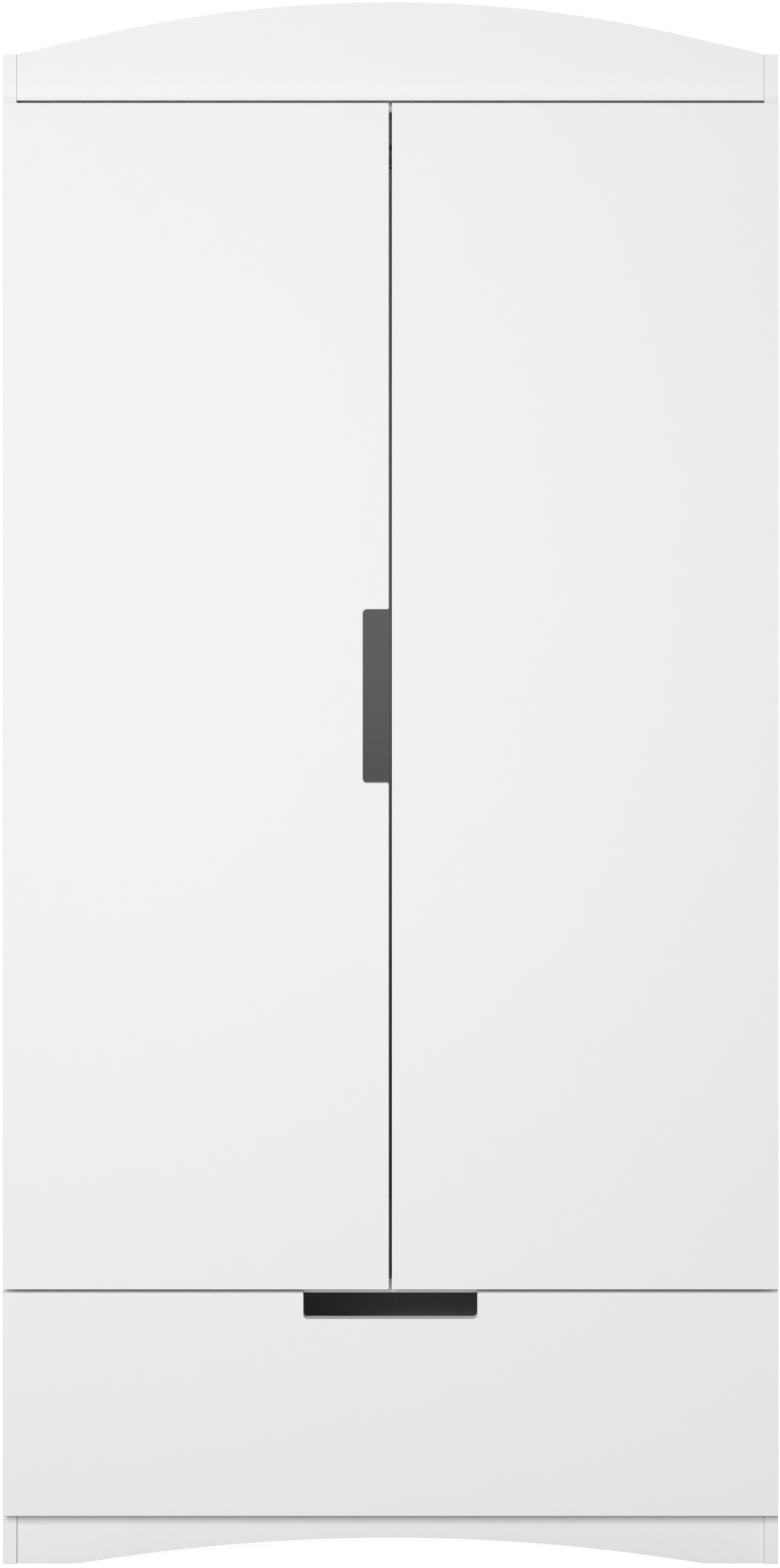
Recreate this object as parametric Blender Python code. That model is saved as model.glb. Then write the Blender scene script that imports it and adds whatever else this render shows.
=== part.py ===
"""A two-door wardrobe with one drawer, as separate pieces in metres.

+Z is up and the front faces -Y. The origin is on the floor, under the middle of the whole object.
An `inset` is a distance from a side panel's outer face towards the middle, so the same value serves
the left side (hand -1) and the right side (hand +1).
"""

import math

import bmesh
import bpy

# Overall sizes
WIDTH = 1.000
DEPTH = 0.550  # door fronts to the backs of the side panels
SIDE_HEIGHT = 1.9497  # floor to the top of a side panel

# Boards and clearances
BOARD = 0.018
BACK_BOARD = 0.003
FIT = 0.0003  # clearance between two pieces that touch
GROOVE_PLAY = 0.0004  # on each side of a thin panel in its groove

# Crown board: an arc about the middle, with a straight shoulder down to each side panel
CROWN_RADIUS = 1.689
CROWN_SHOULDER = 0.0961
CROWN_END_HEIGHT = 0.0598
TOP_PANEL_LAP = 0.0036  # how far the crown hangs over the top panel's front edge

# Doors and drawer front
FRONT_GAP = 0.003  # between the carcass and the backs of the doors
REVEAL = 0.0015  # side panel that shows past a door's outer edge
DOOR_GAP = 0.004
CROWN_GAP = 0.0045
DRAWER_DOOR_GAP = 0.0044
DRAWER_FRONT_BOTTOM = 0.070
DRAWER_FRONT_HEIGHT = 0.2866
CUTOUT_LENGTH = 0.2235
CUTOUT_DEPTH = 0.0335
CUTOUT_RADIUS = 0.0055
CUTOUT_LIP_RADIUS = 0.002

# Lower carcass
SHELF_LAP = 0.0095  # how far the fixed shelf stands above the bottom of the doors
BASE_LAP = 0.004  # how far the drawer front hangs below the base panel
GLIDE_HEIGHT = 0.002
GLIDE_RADIUS = 0.008
GLIDE_FROM_EDGE = 0.040
PLINTH_SETBACK = 0.0035
ARCH_RISE = 0.0333
ARCH_FOOT = 0.078  # flat foot at each end of the arch
REAR_PLINTH_SETBACK = 0.030

# Back
BACK_SETBACK = 0.012  # from the backs of the side panels to the back panels
GROOVE_DEPTH = 0.008
STRIP_WIDTH = 0.022
STRIP_WALL = 0.0012
REAR_RAIL_HEIGHT = 0.080

# Hanging rail
RAIL_HEIGHT = 0.034
RAIL_THICKNESS = 0.017
RAIL_WALL = 0.0012
RAIL_DROP = 0.0265  # clear height between the top panel and the rail
SOCKET_WALL = 0.0025
SOCKET_BASE = 0.002
SOCKET_REACH = 0.012
SOCKET_FLANGE = 0.008

# Concealed hinges
HINGES_PER_DOOR = 3
HINGE_FROM_END = 0.100
AXIS_FROM_EDGE = 0.008  # from a door's outer edge to its turning axis
AXIS_DEPTH = 0.012  # from a door's back face to its turning axis
CUP_RADIUS = 0.0175
CUP_DEPTH = 0.0118
CUP_FROM_EDGE = 0.005
CUP_WALL = 0.0012
CUP_FLANGE = 0.0008
CUP_RIM = 0.0010
WING_HALF_WIDTH = 0.008
WING_HALF_HEIGHT = 0.031
PLATE_THICKNESS = 0.004
PLATE_FROM_FRONT = 0.020
PLATE_LENGTH = 0.042
PLATE_NECK = 0.008  # half height of the plate's long bar
PLATE_WING = 0.025  # half height of its screw wings
PLATE_WING_WIDTH = 0.014
ARM_HEIGHT = 0.013
ARM_LENGTH = 0.060
ARM_THICKNESS = 0.008
ARM_TIP_CLEARANCE = 0.016  # from the turning axis to the arm's tip
ARM_TIP_THICKNESS = 0.007
ARM_TIP_REACH = 0.007  # past a door's back face, inside the cup

# Drawer box
DRAWER_BOARD = 0.015
DRAWER_FLOOR = 0.004
DRAWER_CLEARANCE = 0.012  # above the base panel
FINGER_ROOM = 0.029  # under the cut-out, down to the top of the drawer box
FLOOR_GROOVE_DEPTH = 0.006
FLOOR_GROOVE_UP = 0.012

# Roller slides
SLIDE_SPACE = 0.0125  # between a side panel and the drawer box
SLIDE_SETBACK = 0.003
SLIDE_BACK_SPACE = 0.061  # between the slides' rear ends and the back panel
SLIDE_UP = 0.004
STEEL = 0.0012
CHANNEL_WIDTH = 0.009
RUNNER_WIDTH = 0.010
RUNNER_DROP = 0.007
ROLLER_RADIUS = 0.010
ROLLER_WIDTH = 0.006
ROLLER_INSET = 0.0024  # from the side panel's inner face
ROLLER_FROM_END = 0.014
ROLLER_RISE = 0.001
PIN_RADIUS = 0.0022
BORE_RADIUS = 0.0026

# Small fittings
BUMPER_RADIUS = 0.004
BUMPER_FROM_EDGE = 0.030
ANGLE_LEG = 0.030
ANGLE_WIDTH = 0.025
ANGLE_THICKNESS = 0.002
ANGLE_FROM_MIDDLE = 0.250
WALL_ANGLE_FROM_SIDE = 0.120
WALL_ANGLE_LEG = 0.045

# Round faces
ROUND_STEPS = 32
SMALL_STEPS = 16
CORNER_STEPS = 5
ARC_STEPS = 32

# Planes and levels that several pieces share
FRONT = -DEPTH / 2
DOOR_BACK = FRONT + BOARD
CARCASS_FRONT = DOOR_BACK + FRONT_GAP
CARCASS_BACK = DEPTH / 2
BACK_PANEL_FRONT = CARCASS_BACK - BACK_SETBACK - BACK_BOARD
INNER_BACK = BACK_PANEL_FRONT - FIT
INNER_HALF = WIDTH / 2 - BOARD
BETWEEN_HALF = INNER_HALF - FIT
CROWN_BOTTOM = SIDE_HEIGHT - CROWN_END_HEIGHT
DOOR_TOP = CROWN_BOTTOM - CROWN_GAP
DRAWER_FRONT_TOP = DRAWER_FRONT_BOTTOM + DRAWER_FRONT_HEIGHT
DOOR_BOTTOM = DRAWER_FRONT_TOP + DRAWER_DOOR_GAP
TOP_PANEL_TOP = CROWN_BOTTOM + TOP_PANEL_LAP
TOP_PANEL_BOTTOM = TOP_PANEL_TOP - BOARD
SHELF_TOP = DOOR_BOTTOM + SHELF_LAP
SHELF_BOTTOM = SHELF_TOP - BOARD
BASE_BOTTOM = DRAWER_FRONT_BOTTOM + BASE_LAP
BASE_TOP = BASE_BOTTOM + BOARD
AXIS_Y = DOOR_BACK - AXIS_DEPTH
AXIS_INSET = REVEAL + AXIS_FROM_EDGE
DRAWER_BOTTOM = BASE_TOP + DRAWER_CLEARANCE
DRAWER_TOP = DRAWER_FRONT_TOP - CUTOUT_DEPTH - FINGER_ROOM
DRAWER_INSET = BOARD + SLIDE_SPACE
DRAWER_BOX_FRONT = DOOR_BACK + FIT
CHANNEL_BOTTOM = DRAWER_BOTTOM + SLIDE_UP
CHANNEL_HEIGHT = 2 * (ROLLER_RADIUS + STEEL + FIT)
CHANNEL_FRONT = CARCASS_FRONT + SLIDE_SETBACK
SLIDE_LENGTH = BACK_PANEL_FRONT - SLIDE_BACK_SPACE - CHANNEL_FRONT  # and the drawer box's length
FRONT_ROLLER_Y = CHANNEL_FRONT + ROLLER_FROM_END
FRONT_ROLLER_Z = CHANNEL_BOTTOM + CHANNEL_HEIGHT + ROLLER_RISE - ROLLER_RADIUS
REAR_ROLLER_Y = DRAWER_BOX_FRONT + SLIDE_LENGTH - ROLLER_FROM_END
REAR_ROLLER_Z = CHANNEL_BOTTOM + CHANNEL_HEIGHT / 2
HANDS = {"left": -1, "right": 1}


def clear_scene():
    for found in list(bpy.data.objects):
        bpy.data.objects.remove(found)


def new_material(name, colour, roughness, metallic=0.0):
    made = bpy.data.materials.new(name)
    made.use_nodes = True
    shader = made.node_tree.nodes["Principled BSDF"]
    shader.inputs["Base Color"].default_value = (*colour, 1.0)
    shader.inputs["Roughness"].default_value = roughness
    shader.inputs["Metallic"].default_value = metallic
    return made


def place(name, mesh, at, finish, parent=None, hidden=False):
    """One named object with its origin at the world point `at`."""
    made = bpy.data.objects.new(name, mesh)
    bpy.context.scene.collection.objects.link(made)
    start = parent.location if parent else (0, 0, 0)
    made.parent = parent
    made.location = [a - b for a, b in zip(at, start)]
    if not mesh.materials:
        mesh.materials.append(finish)
    if hidden:
        made.hide_render = True
        made.display_type = "WIRE"
    return made


def pivot(name, at):
    made = bpy.data.objects.new(name, None)
    bpy.context.scene.collection.objects.link(made)
    made.location = at
    return made


def mesh_from(name, build):
    """The mesh that `build` fills in, with its faces turned outwards."""
    shape = bmesh.new()
    build(shape)
    bmesh.ops.recalc_face_normals(shape, faces=shape.faces)
    mesh = bpy.data.meshes.new(name)
    shape.to_mesh(mesh)
    shape.free()
    return mesh


def prism(name, outline, along, start, end):
    """An outline of (u, v) points pushed along X, Y or Z; u and v are the other two axes in order."""
    slot = "XYZ".index(along)

    def build(shape):
        ends = []
        for level in (start, end):
            corners = [(*point[:slot], level, *point[slot:]) for point in outline]
            ends.append([shape.verts.new(corner) for corner in corners])
            shape.faces.new(ends[-1])
        for i in range(len(outline)):
            shape.faces.new((ends[0][i - 1], ends[0][i], ends[1][i], ends[1][i - 1]))

    return mesh_from(name, build)


def loft(name, loops, ring=False):
    """Loops of equally many points joined in turn; a ring closes on itself, others get end caps."""

    def build(shape):
        rows = [[shape.verts.new(point) for point in loop] for loop in loops]
        pairs = list(zip(rows, rows[1:]))
        if ring:
            pairs.append((rows[-1], rows[0]))
        else:
            shape.faces.new(rows[0])
            shape.faces.new(rows[-1])
        for first, second in pairs:
            for i in range(len(first)):
                shape.faces.new((first[i - 1], first[i], second[i], second[i - 1]))

    mesh = mesh_from(name, build)
    mesh.shade_smooth()
    mesh.set_sharp_from_angle(angle=math.radians(35))
    return mesh


def rectangle(low_u, high_u, low_v, high_v):
    return [(low_u, low_v), (high_u, low_v), (high_u, high_v), (low_u, high_v)]


def arc(centre, radius, start, end, steps):
    """Points along a round stretch, ends included, with angles in degrees."""
    angles = [math.radians(start + (end - start) * i / steps) for i in range(steps + 1)]
    return [(centre[0] + radius * math.cos(a), centre[1] + radius * math.sin(a)) for a in angles]


def circle(radius, steps):
    return arc((0, 0), radius, 0, 360 * (1 - 1 / steps), steps - 1)


def stadium(width, height):
    """An upright oval: a half circle above and below two straight sides."""
    radius = width / 2
    straight = height / 2 - radius
    half = SMALL_STEPS // 2
    return arc((0, straight), radius, 0, 180, half) + arc((0, -straight), radius, 180, 360, half)


def board(name, low, high, finish, parent=None):
    """A plain rectangular board between two world corners, with its origin in its middle."""
    middle = [(a + b) / 2 for a, b in zip(low, high)]
    half = [(b - a) / 2 for a, b in zip(low, high)]
    outline = rectangle(-half[0], half[0], -half[1], half[1])
    mesh = prism(name, outline, "Z", -half[2], half[2])
    return place(name, mesh, middle, finish, parent)


def cylinder(name, radius, along, start, end, steps):
    return prism(name, circle(radius, steps), along, start, end)


def combine(target, other, operation):
    """Adds `other` to the target or cuts it from it, exactly."""
    modifier = target.modifiers.new(other.name, "BOOLEAN")
    modifier.object = other
    modifier.operation = operation
    modifier.solver = "EXACT"


def cut_outline(length, height):
    """A board outline centred on (0, 0), with a finger cut-out in the middle of its +v edge."""
    top = height / 2
    half = CUTOUT_LENGTH / 2
    floor = top - CUTOUT_DEPTH
    inner, lip = CUTOUT_RADIUS, CUTOUT_LIP_RADIUS
    right = arc((half + lip, top - lip), lip, 90, 180, CORNER_STEPS)
    right += arc((half - inner, floor + inner), inner, 0, -90, CORNER_STEPS)
    left = [(-u, v) for u, v in reversed(right)]
    corners = [(-length / 2, -top), (length / 2, -top), (length / 2, top)]
    return corners + right + left + [(-length / 2, top)]


def side_panel(side, finish):
    """A full-height side, grooved near its back edge for the back panel."""
    hand = HANDS[side]
    groove_front = BACK_PANEL_FRONT - GROOVE_PLAY
    groove_back = BACK_PANEL_FRONT + BACK_BOARD + GROOVE_PLAY
    outer = WIDTH / 2
    inner = INNER_HALF
    floor = INNER_HALF + GROOVE_DEPTH
    outline = [
        (outer, CARCASS_FRONT),
        (outer, CARCASS_BACK),
        (inner, CARCASS_BACK),
        (inner, groove_back),
        (floor, groove_back),
        (floor, groove_front),
        (inner, groove_front),
        (inner, CARCASS_FRONT),
    ]
    outline = [(hand * (x - outer), y) for x, y in outline]
    mesh = prism(f"side_panel_{side}", outline, "Z", GLIDE_HEIGHT, SIDE_HEIGHT)
    place(f"side_panel_{side}", mesh, (hand * outer, 0, 0), finish)


def crown_board(finish):
    """The raised front board: an arc that runs straight on down to the side panels."""
    half_arc = BETWEEN_HALF - CROWN_SHOULDER
    sweep = math.asin(half_arc / CROWN_RADIUS)
    arc_drop = CROWN_RADIUS * (1 - math.cos(sweep))
    apex = SIDE_HEIGHT + arc_drop + CROWN_SHOULDER * math.tan(sweep)
    turn = math.degrees(sweep)
    top = arc((0, apex - CROWN_RADIUS), CROWN_RADIUS, 90 - turn, 90 + turn, ARC_STEPS)
    outline = [
        (-BETWEEN_HALF, CROWN_BOTTOM),
        (BETWEEN_HALF, CROWN_BOTTOM),
        (BETWEEN_HALF, SIDE_HEIGHT),
        *top,
        (-BETWEEN_HALF, SIDE_HEIGHT),
    ]
    outline = [(x, z - CROWN_BOTTOM) for x, z in outline]
    mesh = prism("crown_board", outline, "Y", 0, BOARD)
    place("crown_board", mesh, (0, CARCASS_FRONT, CROWN_BOTTOM), finish)


def plinth_board(finish):
    """The front kick board, arched between two flat feet."""
    half_span = BETWEEN_HALF - ARCH_FOOT
    radius = (half_span**2 + ARCH_RISE**2) / (2 * ARCH_RISE)
    turn = math.degrees(math.asin(half_span / radius))
    under = arc((0, ARCH_RISE - radius), radius, 90 + turn, 90 - turn, ARC_STEPS)
    height = BASE_BOTTOM - FIT - GLIDE_HEIGHT
    outline = [
        (-BETWEEN_HALF, height),
        (-BETWEEN_HALF, 0),
        *under,
        (BETWEEN_HALF, 0),
        (BETWEEN_HALF, height),
    ]
    mesh = prism("plinth_board", outline, "Y", 0, BOARD)
    place("plinth_board", mesh, (0, CARCASS_FRONT + PLINTH_SETBACK, GLIDE_HEIGHT), finish)


def carcass_boards(finish):
    """The boards that span between the two side panels."""
    half = BETWEEN_HALF
    behind_crown = CARCASS_FRONT + BOARD + FIT
    top = ((-half, behind_crown, TOP_PANEL_BOTTOM), (half, INNER_BACK, TOP_PANEL_TOP))
    shelf = ((-half, CARCASS_FRONT, SHELF_BOTTOM), (half, INNER_BACK, SHELF_TOP))
    base = ((-half, CARCASS_FRONT, BASE_BOTTOM), (half, INNER_BACK, BASE_TOP))
    rail_top = TOP_PANEL_BOTTOM - FIT
    rail_bottom = rail_top - REAR_RAIL_HEIGHT
    rail = ((-half, INNER_BACK - BOARD, rail_bottom), (half, INNER_BACK, rail_top))
    kick_back = CARCASS_BACK - REAR_PLINTH_SETBACK
    kick_top = BASE_BOTTOM - FIT
    kick = ((-half, kick_back - BOARD, GLIDE_HEIGHT), (half, kick_back, kick_top))
    board("top_panel", *top, finish)
    board("fixed_shelf", *shelf, finish)
    board("base_panel", *base, finish)
    board("rear_rail", *rail, finish)
    board("rear_plinth", *kick, finish)


def back_panels(finish, strip_finish):
    """Two thin panels in the sides' grooves, joined down the middle by an H-shaped strip."""
    web = STRIP_WALL / 2
    inner = web + FIT
    outer = INNER_HALF + GROOVE_DEPTH - FIT
    back = BACK_PANEL_FRONT + BACK_BOARD
    for side, hand in HANDS.items():
        ends = sorted((hand * inner, hand * outer))
        low = (ends[0], BACK_PANEL_FRONT, BASE_BOTTOM)
        high = (ends[1], back, TOP_PANEL_TOP)
        board(f"back_panel_{side}", low, high, finish)
    half = STRIP_WIDTH / 2
    lip = back + FIT
    outline = [
        (-half, lip),
        (-web, lip),
        (-web, BACK_PANEL_FRONT),
        (web, BACK_PANEL_FRONT),
        (web, lip),
        (half, lip),
        (half, lip + STRIP_WALL),
        (-half, lip + STRIP_WALL),
    ]
    outline = [(x, y - lip) for x, y in outline]
    mesh = prism("back_joining_strip", outline, "Z", BASE_BOTTOM, TOP_PANEL_TOP)
    place("back_joining_strip", mesh, (0, lip, 0), strip_finish)


def floor_glides(finish):
    """Four plastic glides under the side panels, clear of them by the fit."""
    middle = WIDTH / 2 - BOARD / 2
    ends = {
        "front": CARCASS_FRONT + GLIDE_FROM_EDGE,
        "rear": CARCASS_BACK - GLIDE_FROM_EDGE,
    }
    for end, y in ends.items():
        for side, hand in HANDS.items():
            name = f"floor_glide_{end}_{side}"
            mesh = cylinder(name, GLIDE_RADIUS, "Z", 0, GLIDE_HEIGHT - FIT, SMALL_STEPS)
            place(name, mesh, (hand * middle, y, 0), finish)


def hanging_rail(finish, socket_finish):
    """An oval tube across the compartment, in a socket on each side panel."""
    y = (CARCASS_FRONT + BACK_PANEL_FRONT) / 2
    z = TOP_PANEL_BOTTOM - RAIL_DROP - RAIL_HEIGHT / 2
    half = INNER_HALF - SOCKET_BASE - 2 * FIT
    outside = stadium(RAIL_THICKNESS, RAIL_HEIGHT)
    inside = stadium(RAIL_THICKNESS - 2 * RAIL_WALL, RAIL_HEIGHT - 2 * RAIL_WALL)
    loops = [
        [(x, u, v) for u, v in oval]
        for x, oval in ((-half, outside), (half, outside), (half, inside), (-half, inside))
    ]
    place("hanging_rail", loft("hanging_rail", loops, ring=True), (0, y, z), finish)
    grow = 2 * FIT
    bore = stadium(RAIL_THICKNESS + grow, RAIL_HEIGHT + grow)
    grow += 2 * SOCKET_WALL
    collar = stadium(RAIL_THICKNESS + grow, RAIL_HEIGHT + grow)
    grow += 2 * SOCKET_FLANGE
    flange = stadium(RAIL_THICKNESS + grow, RAIL_HEIGHT + grow)
    base = SOCKET_BASE
    steps = (
        (0, flange),
        (base, flange),
        (base, collar),
        (SOCKET_REACH, collar),
        (SOCKET_REACH, bore),
        (base, bore),
    )
    for side, hand in HANDS.items():
        name = f"rail_socket_{side}"
        loops = [[(-hand * reach, u, v) for u, v in oval] for reach, oval in steps]
        place(name, loft(name, loops), (hand * BETWEEN_HALF, y, z), socket_finish)


def cup_mesh(name):
    """A hinge cup, its bottom towards -Y, with a thin flange and two screw wings at its mouth."""
    outer = CUP_RADIUS - FIT
    bore = outer - CUP_WALL
    rim = CUP_RADIUS + CUP_RIM
    unit = circle(1, ROUND_STEPS)
    wings = []
    for u, v in unit:
        to_side = WING_HALF_WIDTH / max(abs(u), 1e-6)
        to_end = WING_HALF_HEIGHT / max(abs(v), 1e-6)
        reach = max(rim, min(to_side, to_end))
        wings.append((u * reach, v * reach))
    body = [(u * outer, v * outer) for u, v in unit]
    hollow = [(u * bore, v * bore) for u, v in unit]
    seat = FIT
    mouth = seat + CUP_FLANGE
    bottom = FIT - CUP_DEPTH
    steps = (
        (bottom, body),
        (seat, body),
        (seat, wings),
        (mouth, wings),
        (mouth, hollow),
        (bottom + CUP_WALL, hollow),
    )
    return loft(name, [[(u, y, v) for u, v in points] for y, points in steps])


def plate_mesh(name, hand):
    """A cross-shaped mounting plate, its origin on the side panel at the carcass front."""
    middle = PLATE_FROM_FRONT + PLATE_LENGTH / 2
    wing = (middle - PLATE_WING_WIDTH / 2, middle + PLATE_WING_WIDTH / 2)
    far = PLATE_FROM_FRONT + PLATE_LENGTH
    upper = [
        (far, PLATE_NECK),
        (wing[1], PLATE_NECK),
        (wing[1], PLATE_WING),
        (wing[0], PLATE_WING),
        (wing[0], PLATE_NECK),
        (PLATE_FROM_FRONT, PLATE_NECK),
    ]
    outline = upper + [(y, -z) for y, z in reversed(upper)]
    return prism(name, outline, "X", -hand * FIT, -hand * (FIT + PLATE_THICKNESS))


def arm_mesh(name, hand):
    """The arm on the mounting plate, stepping in to a tip that ends inside the cup."""
    low = FIT + PLATE_THICKNESS + FIT
    high = low + ARM_THICKNESS
    tip_low = AXIS_INSET + ARM_TIP_CLEARANCE - BOARD
    tip_high = tip_low + ARM_TIP_THICKNESS
    tip = -FRONT_GAP - ARM_TIP_REACH
    outline = [
        (low, ARM_LENGTH),
        (high, ARM_LENGTH),
        (high, ARM_THICKNESS),
        (tip_high, 0),
        (tip_high, tip),
        (tip_low, tip),
        (tip_low, 0),
        (low, ARM_THICKNESS),
    ]
    outline = [(-hand * x, y) for x, y in outline]
    return prism(name, outline, "Z", -ARM_HEIGHT / 2, ARM_HEIGHT / 2)


def hinge_levels():
    low = DOOR_BOTTOM + HINGE_FROM_END
    high = DOOR_TOP - HINGE_FROM_END
    gaps = HINGES_PER_DOOR - 1
    return [low + (high - low) * i / gaps for i in range(HINGES_PER_DOOR)]


def door(side, finish, steel, soft):
    """A slab door on its axis, with its hinges; only the left one has a finger cut-out."""
    hand = HANDS[side]
    axis_x = hand * (WIDTH / 2 - AXIS_INSET)
    axis = pivot(f"{side}_door_axis", (axis_x, AXIS_Y, 0))
    outer = WIDTH / 2 - REVEAL
    width = outer - DOOR_GAP / 2
    height = DOOR_TOP - DOOR_BOTTOM
    outline = rectangle(-width / 2, width / 2, -height / 2, height / 2)
    if side == "left":
        outline = [(v, -u) for u, v in cut_outline(height, width)]
    middle = (hand * (outer - width / 2), DOOR_BACK, (DOOR_TOP + DOOR_BOTTOM) / 2)
    name = f"{side}_door"
    slab = place(name, prism(name, outline, "Y", -BOARD, 0), middle, finish, axis)
    cup_x = hand * (WIDTH / 2 - REVEAL - CUP_FROM_EDGE - CUP_RADIUS)
    for level, z in zip(("lower", "middle", "upper"), hinge_levels()):
        label = f"{side}_{level}"
        hole = cylinder(f"{label}_bore", CUP_RADIUS, "Y", -CUP_DEPTH, BOARD, ROUND_STEPS)
        cutter = place(f"{label}_bore", hole, (cup_x, DOOR_BACK, z), steel, axis, hidden=True)
        combine(slab, cutter, "DIFFERENCE")
        cup = cup_mesh(f"hinge_cup_{label}")
        place(f"hinge_cup_{label}", cup, (cup_x, DOOR_BACK, z), steel, axis)
        seat = (hand * INNER_HALF, CARCASS_FRONT, z)
        place(f"hinge_plate_{label}", plate_mesh(f"hinge_plate_{label}", hand), seat, steel)
        place(f"hinge_arm_{label}", arm_mesh(f"hinge_arm_{label}", hand), seat, steel)
    pad_x = hand * (DOOR_GAP / 2 + BUMPER_FROM_EDGE)
    pad_z = (SHELF_TOP + DOOR_BOTTOM) / 2
    name = f"door_bumper_{side}"
    pad = cylinder(name, BUMPER_RADIUS, "Y", FIT, FRONT_GAP - FIT, SMALL_STEPS)
    place(name, pad, (pad_x, DOOR_BACK, pad_z), soft, axis)


def drawer_side(side, finish, parent):
    """A side of the drawer box, grooved inside near its lower edge for the drawer bottom."""
    hand = HANDS[side]
    low = FLOOR_GROOVE_UP
    high = low + DRAWER_FLOOR + 2 * GROOVE_PLAY
    depth = DRAWER_BOARD - FLOOR_GROOVE_DEPTH
    height = DRAWER_TOP - DRAWER_BOTTOM
    outline = [
        (0, 0),
        (DRAWER_BOARD, 0),
        (DRAWER_BOARD, low),
        (depth, low),
        (depth, high),
        (DRAWER_BOARD, high),
        (DRAWER_BOARD, height),
        (0, height),
    ]
    outline = [(-hand * x, z) for x, z in outline]
    name = f"drawer_side_{side}"
    start = (hand * (WIDTH / 2 - DRAWER_INSET), DRAWER_BOX_FRONT, DRAWER_BOTTOM)
    place(name, prism(name, outline, "Y", 0, SLIDE_LENGTH), start, finish, parent)


def drawer_box(front_finish, finish, floor_finish, parent):
    """The drawer front with its finger cut-out, and the box behind it."""
    length = WIDTH - 2 * REVEAL
    outline = cut_outline(length, DRAWER_FRONT_HEIGHT)
    middle = (0, DOOR_BACK, (DRAWER_FRONT_BOTTOM + DRAWER_FRONT_TOP) / 2)
    front = prism("drawer_front", outline, "Y", -BOARD, 0)
    place("drawer_front", front, middle, front_finish, parent)
    for side in HANDS:
        drawer_side(side, finish, parent)
    inner = WIDTH / 2 - DRAWER_INSET - DRAWER_BOARD
    box_back = DRAWER_BOX_FRONT + SLIDE_LENGTH
    floor_low = DRAWER_BOTTOM + FLOOR_GROOVE_UP + GROOVE_PLAY
    floor_high = floor_low + DRAWER_FLOOR
    reach = inner + FLOOR_GROOVE_DEPTH - FIT
    floor = ((-reach, DRAWER_BOX_FRONT, floor_low), (reach, box_back, floor_high))
    board("drawer_bottom", *floor, floor_finish, parent)
    half = inner - FIT
    rear = ((-half, box_back - DRAWER_BOARD, floor_high + FIT), (half, box_back, DRAWER_TOP))
    board("drawer_back", *rear, finish, parent)


def pin(name, along_hand, start, end, at, finish, parent=None):
    """A hidden axle pin, ready to be joined to the slide that carries it."""
    mesh = cylinder(name, PIN_RADIUS, "X", along_hand * start, along_hand * end, SMALL_STEPS)
    return place(name, mesh, at, finish, parent, hidden=True)


def cabinet_slide(side, finish):
    """A C channel on the side panel, its upper flange cut back behind the front roller's pin."""
    hand = HANDS[side]
    high = CHANNEL_HEIGHT
    width = CHANNEL_WIDTH
    outline = [
        (0, 0),
        (width, 0),
        (width, STEEL),
        (STEEL, STEEL),
        (STEEL, high - STEEL),
        (width, high - STEEL),
        (width, high),
        (0, high),
    ]
    outline = [(-hand * x, z) for x, z in outline]
    name = f"cabinet_slide_{side}"
    start = (hand * BETWEEN_HALF, CHANNEL_FRONT, CHANNEL_BOTTOM)
    slide = place(name, prism(name, outline, "Y", 0, SLIDE_LENGTH), start, finish)
    room = 2 * ROLLER_FROM_END
    low = high - 2 * STEEL
    notch = rectangle(*sorted((-hand * STEEL, -hand * 2 * width)), low, 2 * high)
    notch = prism(f"{name}_notch", notch, "Y", -room, room)
    combine(slide, place(f"{name}_notch", notch, start, finish, hidden=True), "DIFFERENCE")
    at = (hand * BETWEEN_HALF, FRONT_ROLLER_Y, FRONT_ROLLER_Z)
    end = ROLLER_INSET + ROLLER_WIDTH + FIT
    combine(slide, pin(f"{name}_pin", -hand, STEEL / 2, end, at, finish), "UNION")


def drawer_slide(side, finish, parent):
    """An angle on the drawer side: its top flange runs on the front roller, its pin is at the rear."""
    hand = HANDS[side]
    under = FRONT_ROLLER_Z + ROLLER_RADIUS + FIT
    high = under + STEEL
    low = REAR_ROLLER_Z - RUNNER_DROP
    outline = [
        (0, low),
        (STEEL, low),
        (STEEL, high),
        (STEEL - RUNNER_WIDTH, high),
        (STEEL - RUNNER_WIDTH, under),
        (0, under),
    ]
    name = f"drawer_slide_{side}"
    web = WIDTH / 2 - DRAWER_INSET + FIT + STEEL
    start = (hand * web, DRAWER_BOX_FRONT, CHANNEL_BOTTOM)
    outline = [(-hand * x, z - CHANNEL_BOTTOM) for x, z in outline]
    slide = place(name, prism(name, outline, "Y", 0, SLIDE_LENGTH), start, finish, parent)
    at = (hand * web, REAR_ROLLER_Y, REAR_ROLLER_Z)
    reach = SLIDE_SPACE - FIT - STEEL - ROLLER_INSET + FIT
    combine(slide, pin(f"{name}_pin", hand, -STEEL / 2, reach, at, finish, parent), "UNION")


def roller(name, hand, at, finish, parent=None):
    """A roller with a bore for its pin, its origin on its axle."""
    width = ROLLER_WIDTH
    rims = [(0, ROLLER_RADIUS), (width, ROLLER_RADIUS), (width, BORE_RADIUS), (0, BORE_RADIUS)]
    loops = [[(-hand * x, y, z) for y, z in circle(radius, SMALL_STEPS * 2)] for x, radius in rims]
    place(name, loft(name, loops, ring=True), at, finish, parent)


def slides_and_rollers(steel, plastic, parent):
    for side, hand in HANDS.items():
        cabinet_slide(side, steel)
        drawer_slide(side, steel, parent)
        x = hand * (INNER_HALF - ROLLER_INSET)
        front = (x, FRONT_ROLLER_Y, FRONT_ROLLER_Z)
        rear = (x, REAR_ROLLER_Y, REAR_ROLLER_Z)
        roller(f"front_roller_{side}", hand, front, plastic)
        roller(f"rear_roller_{side}", hand, rear, plastic, parent)


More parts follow.
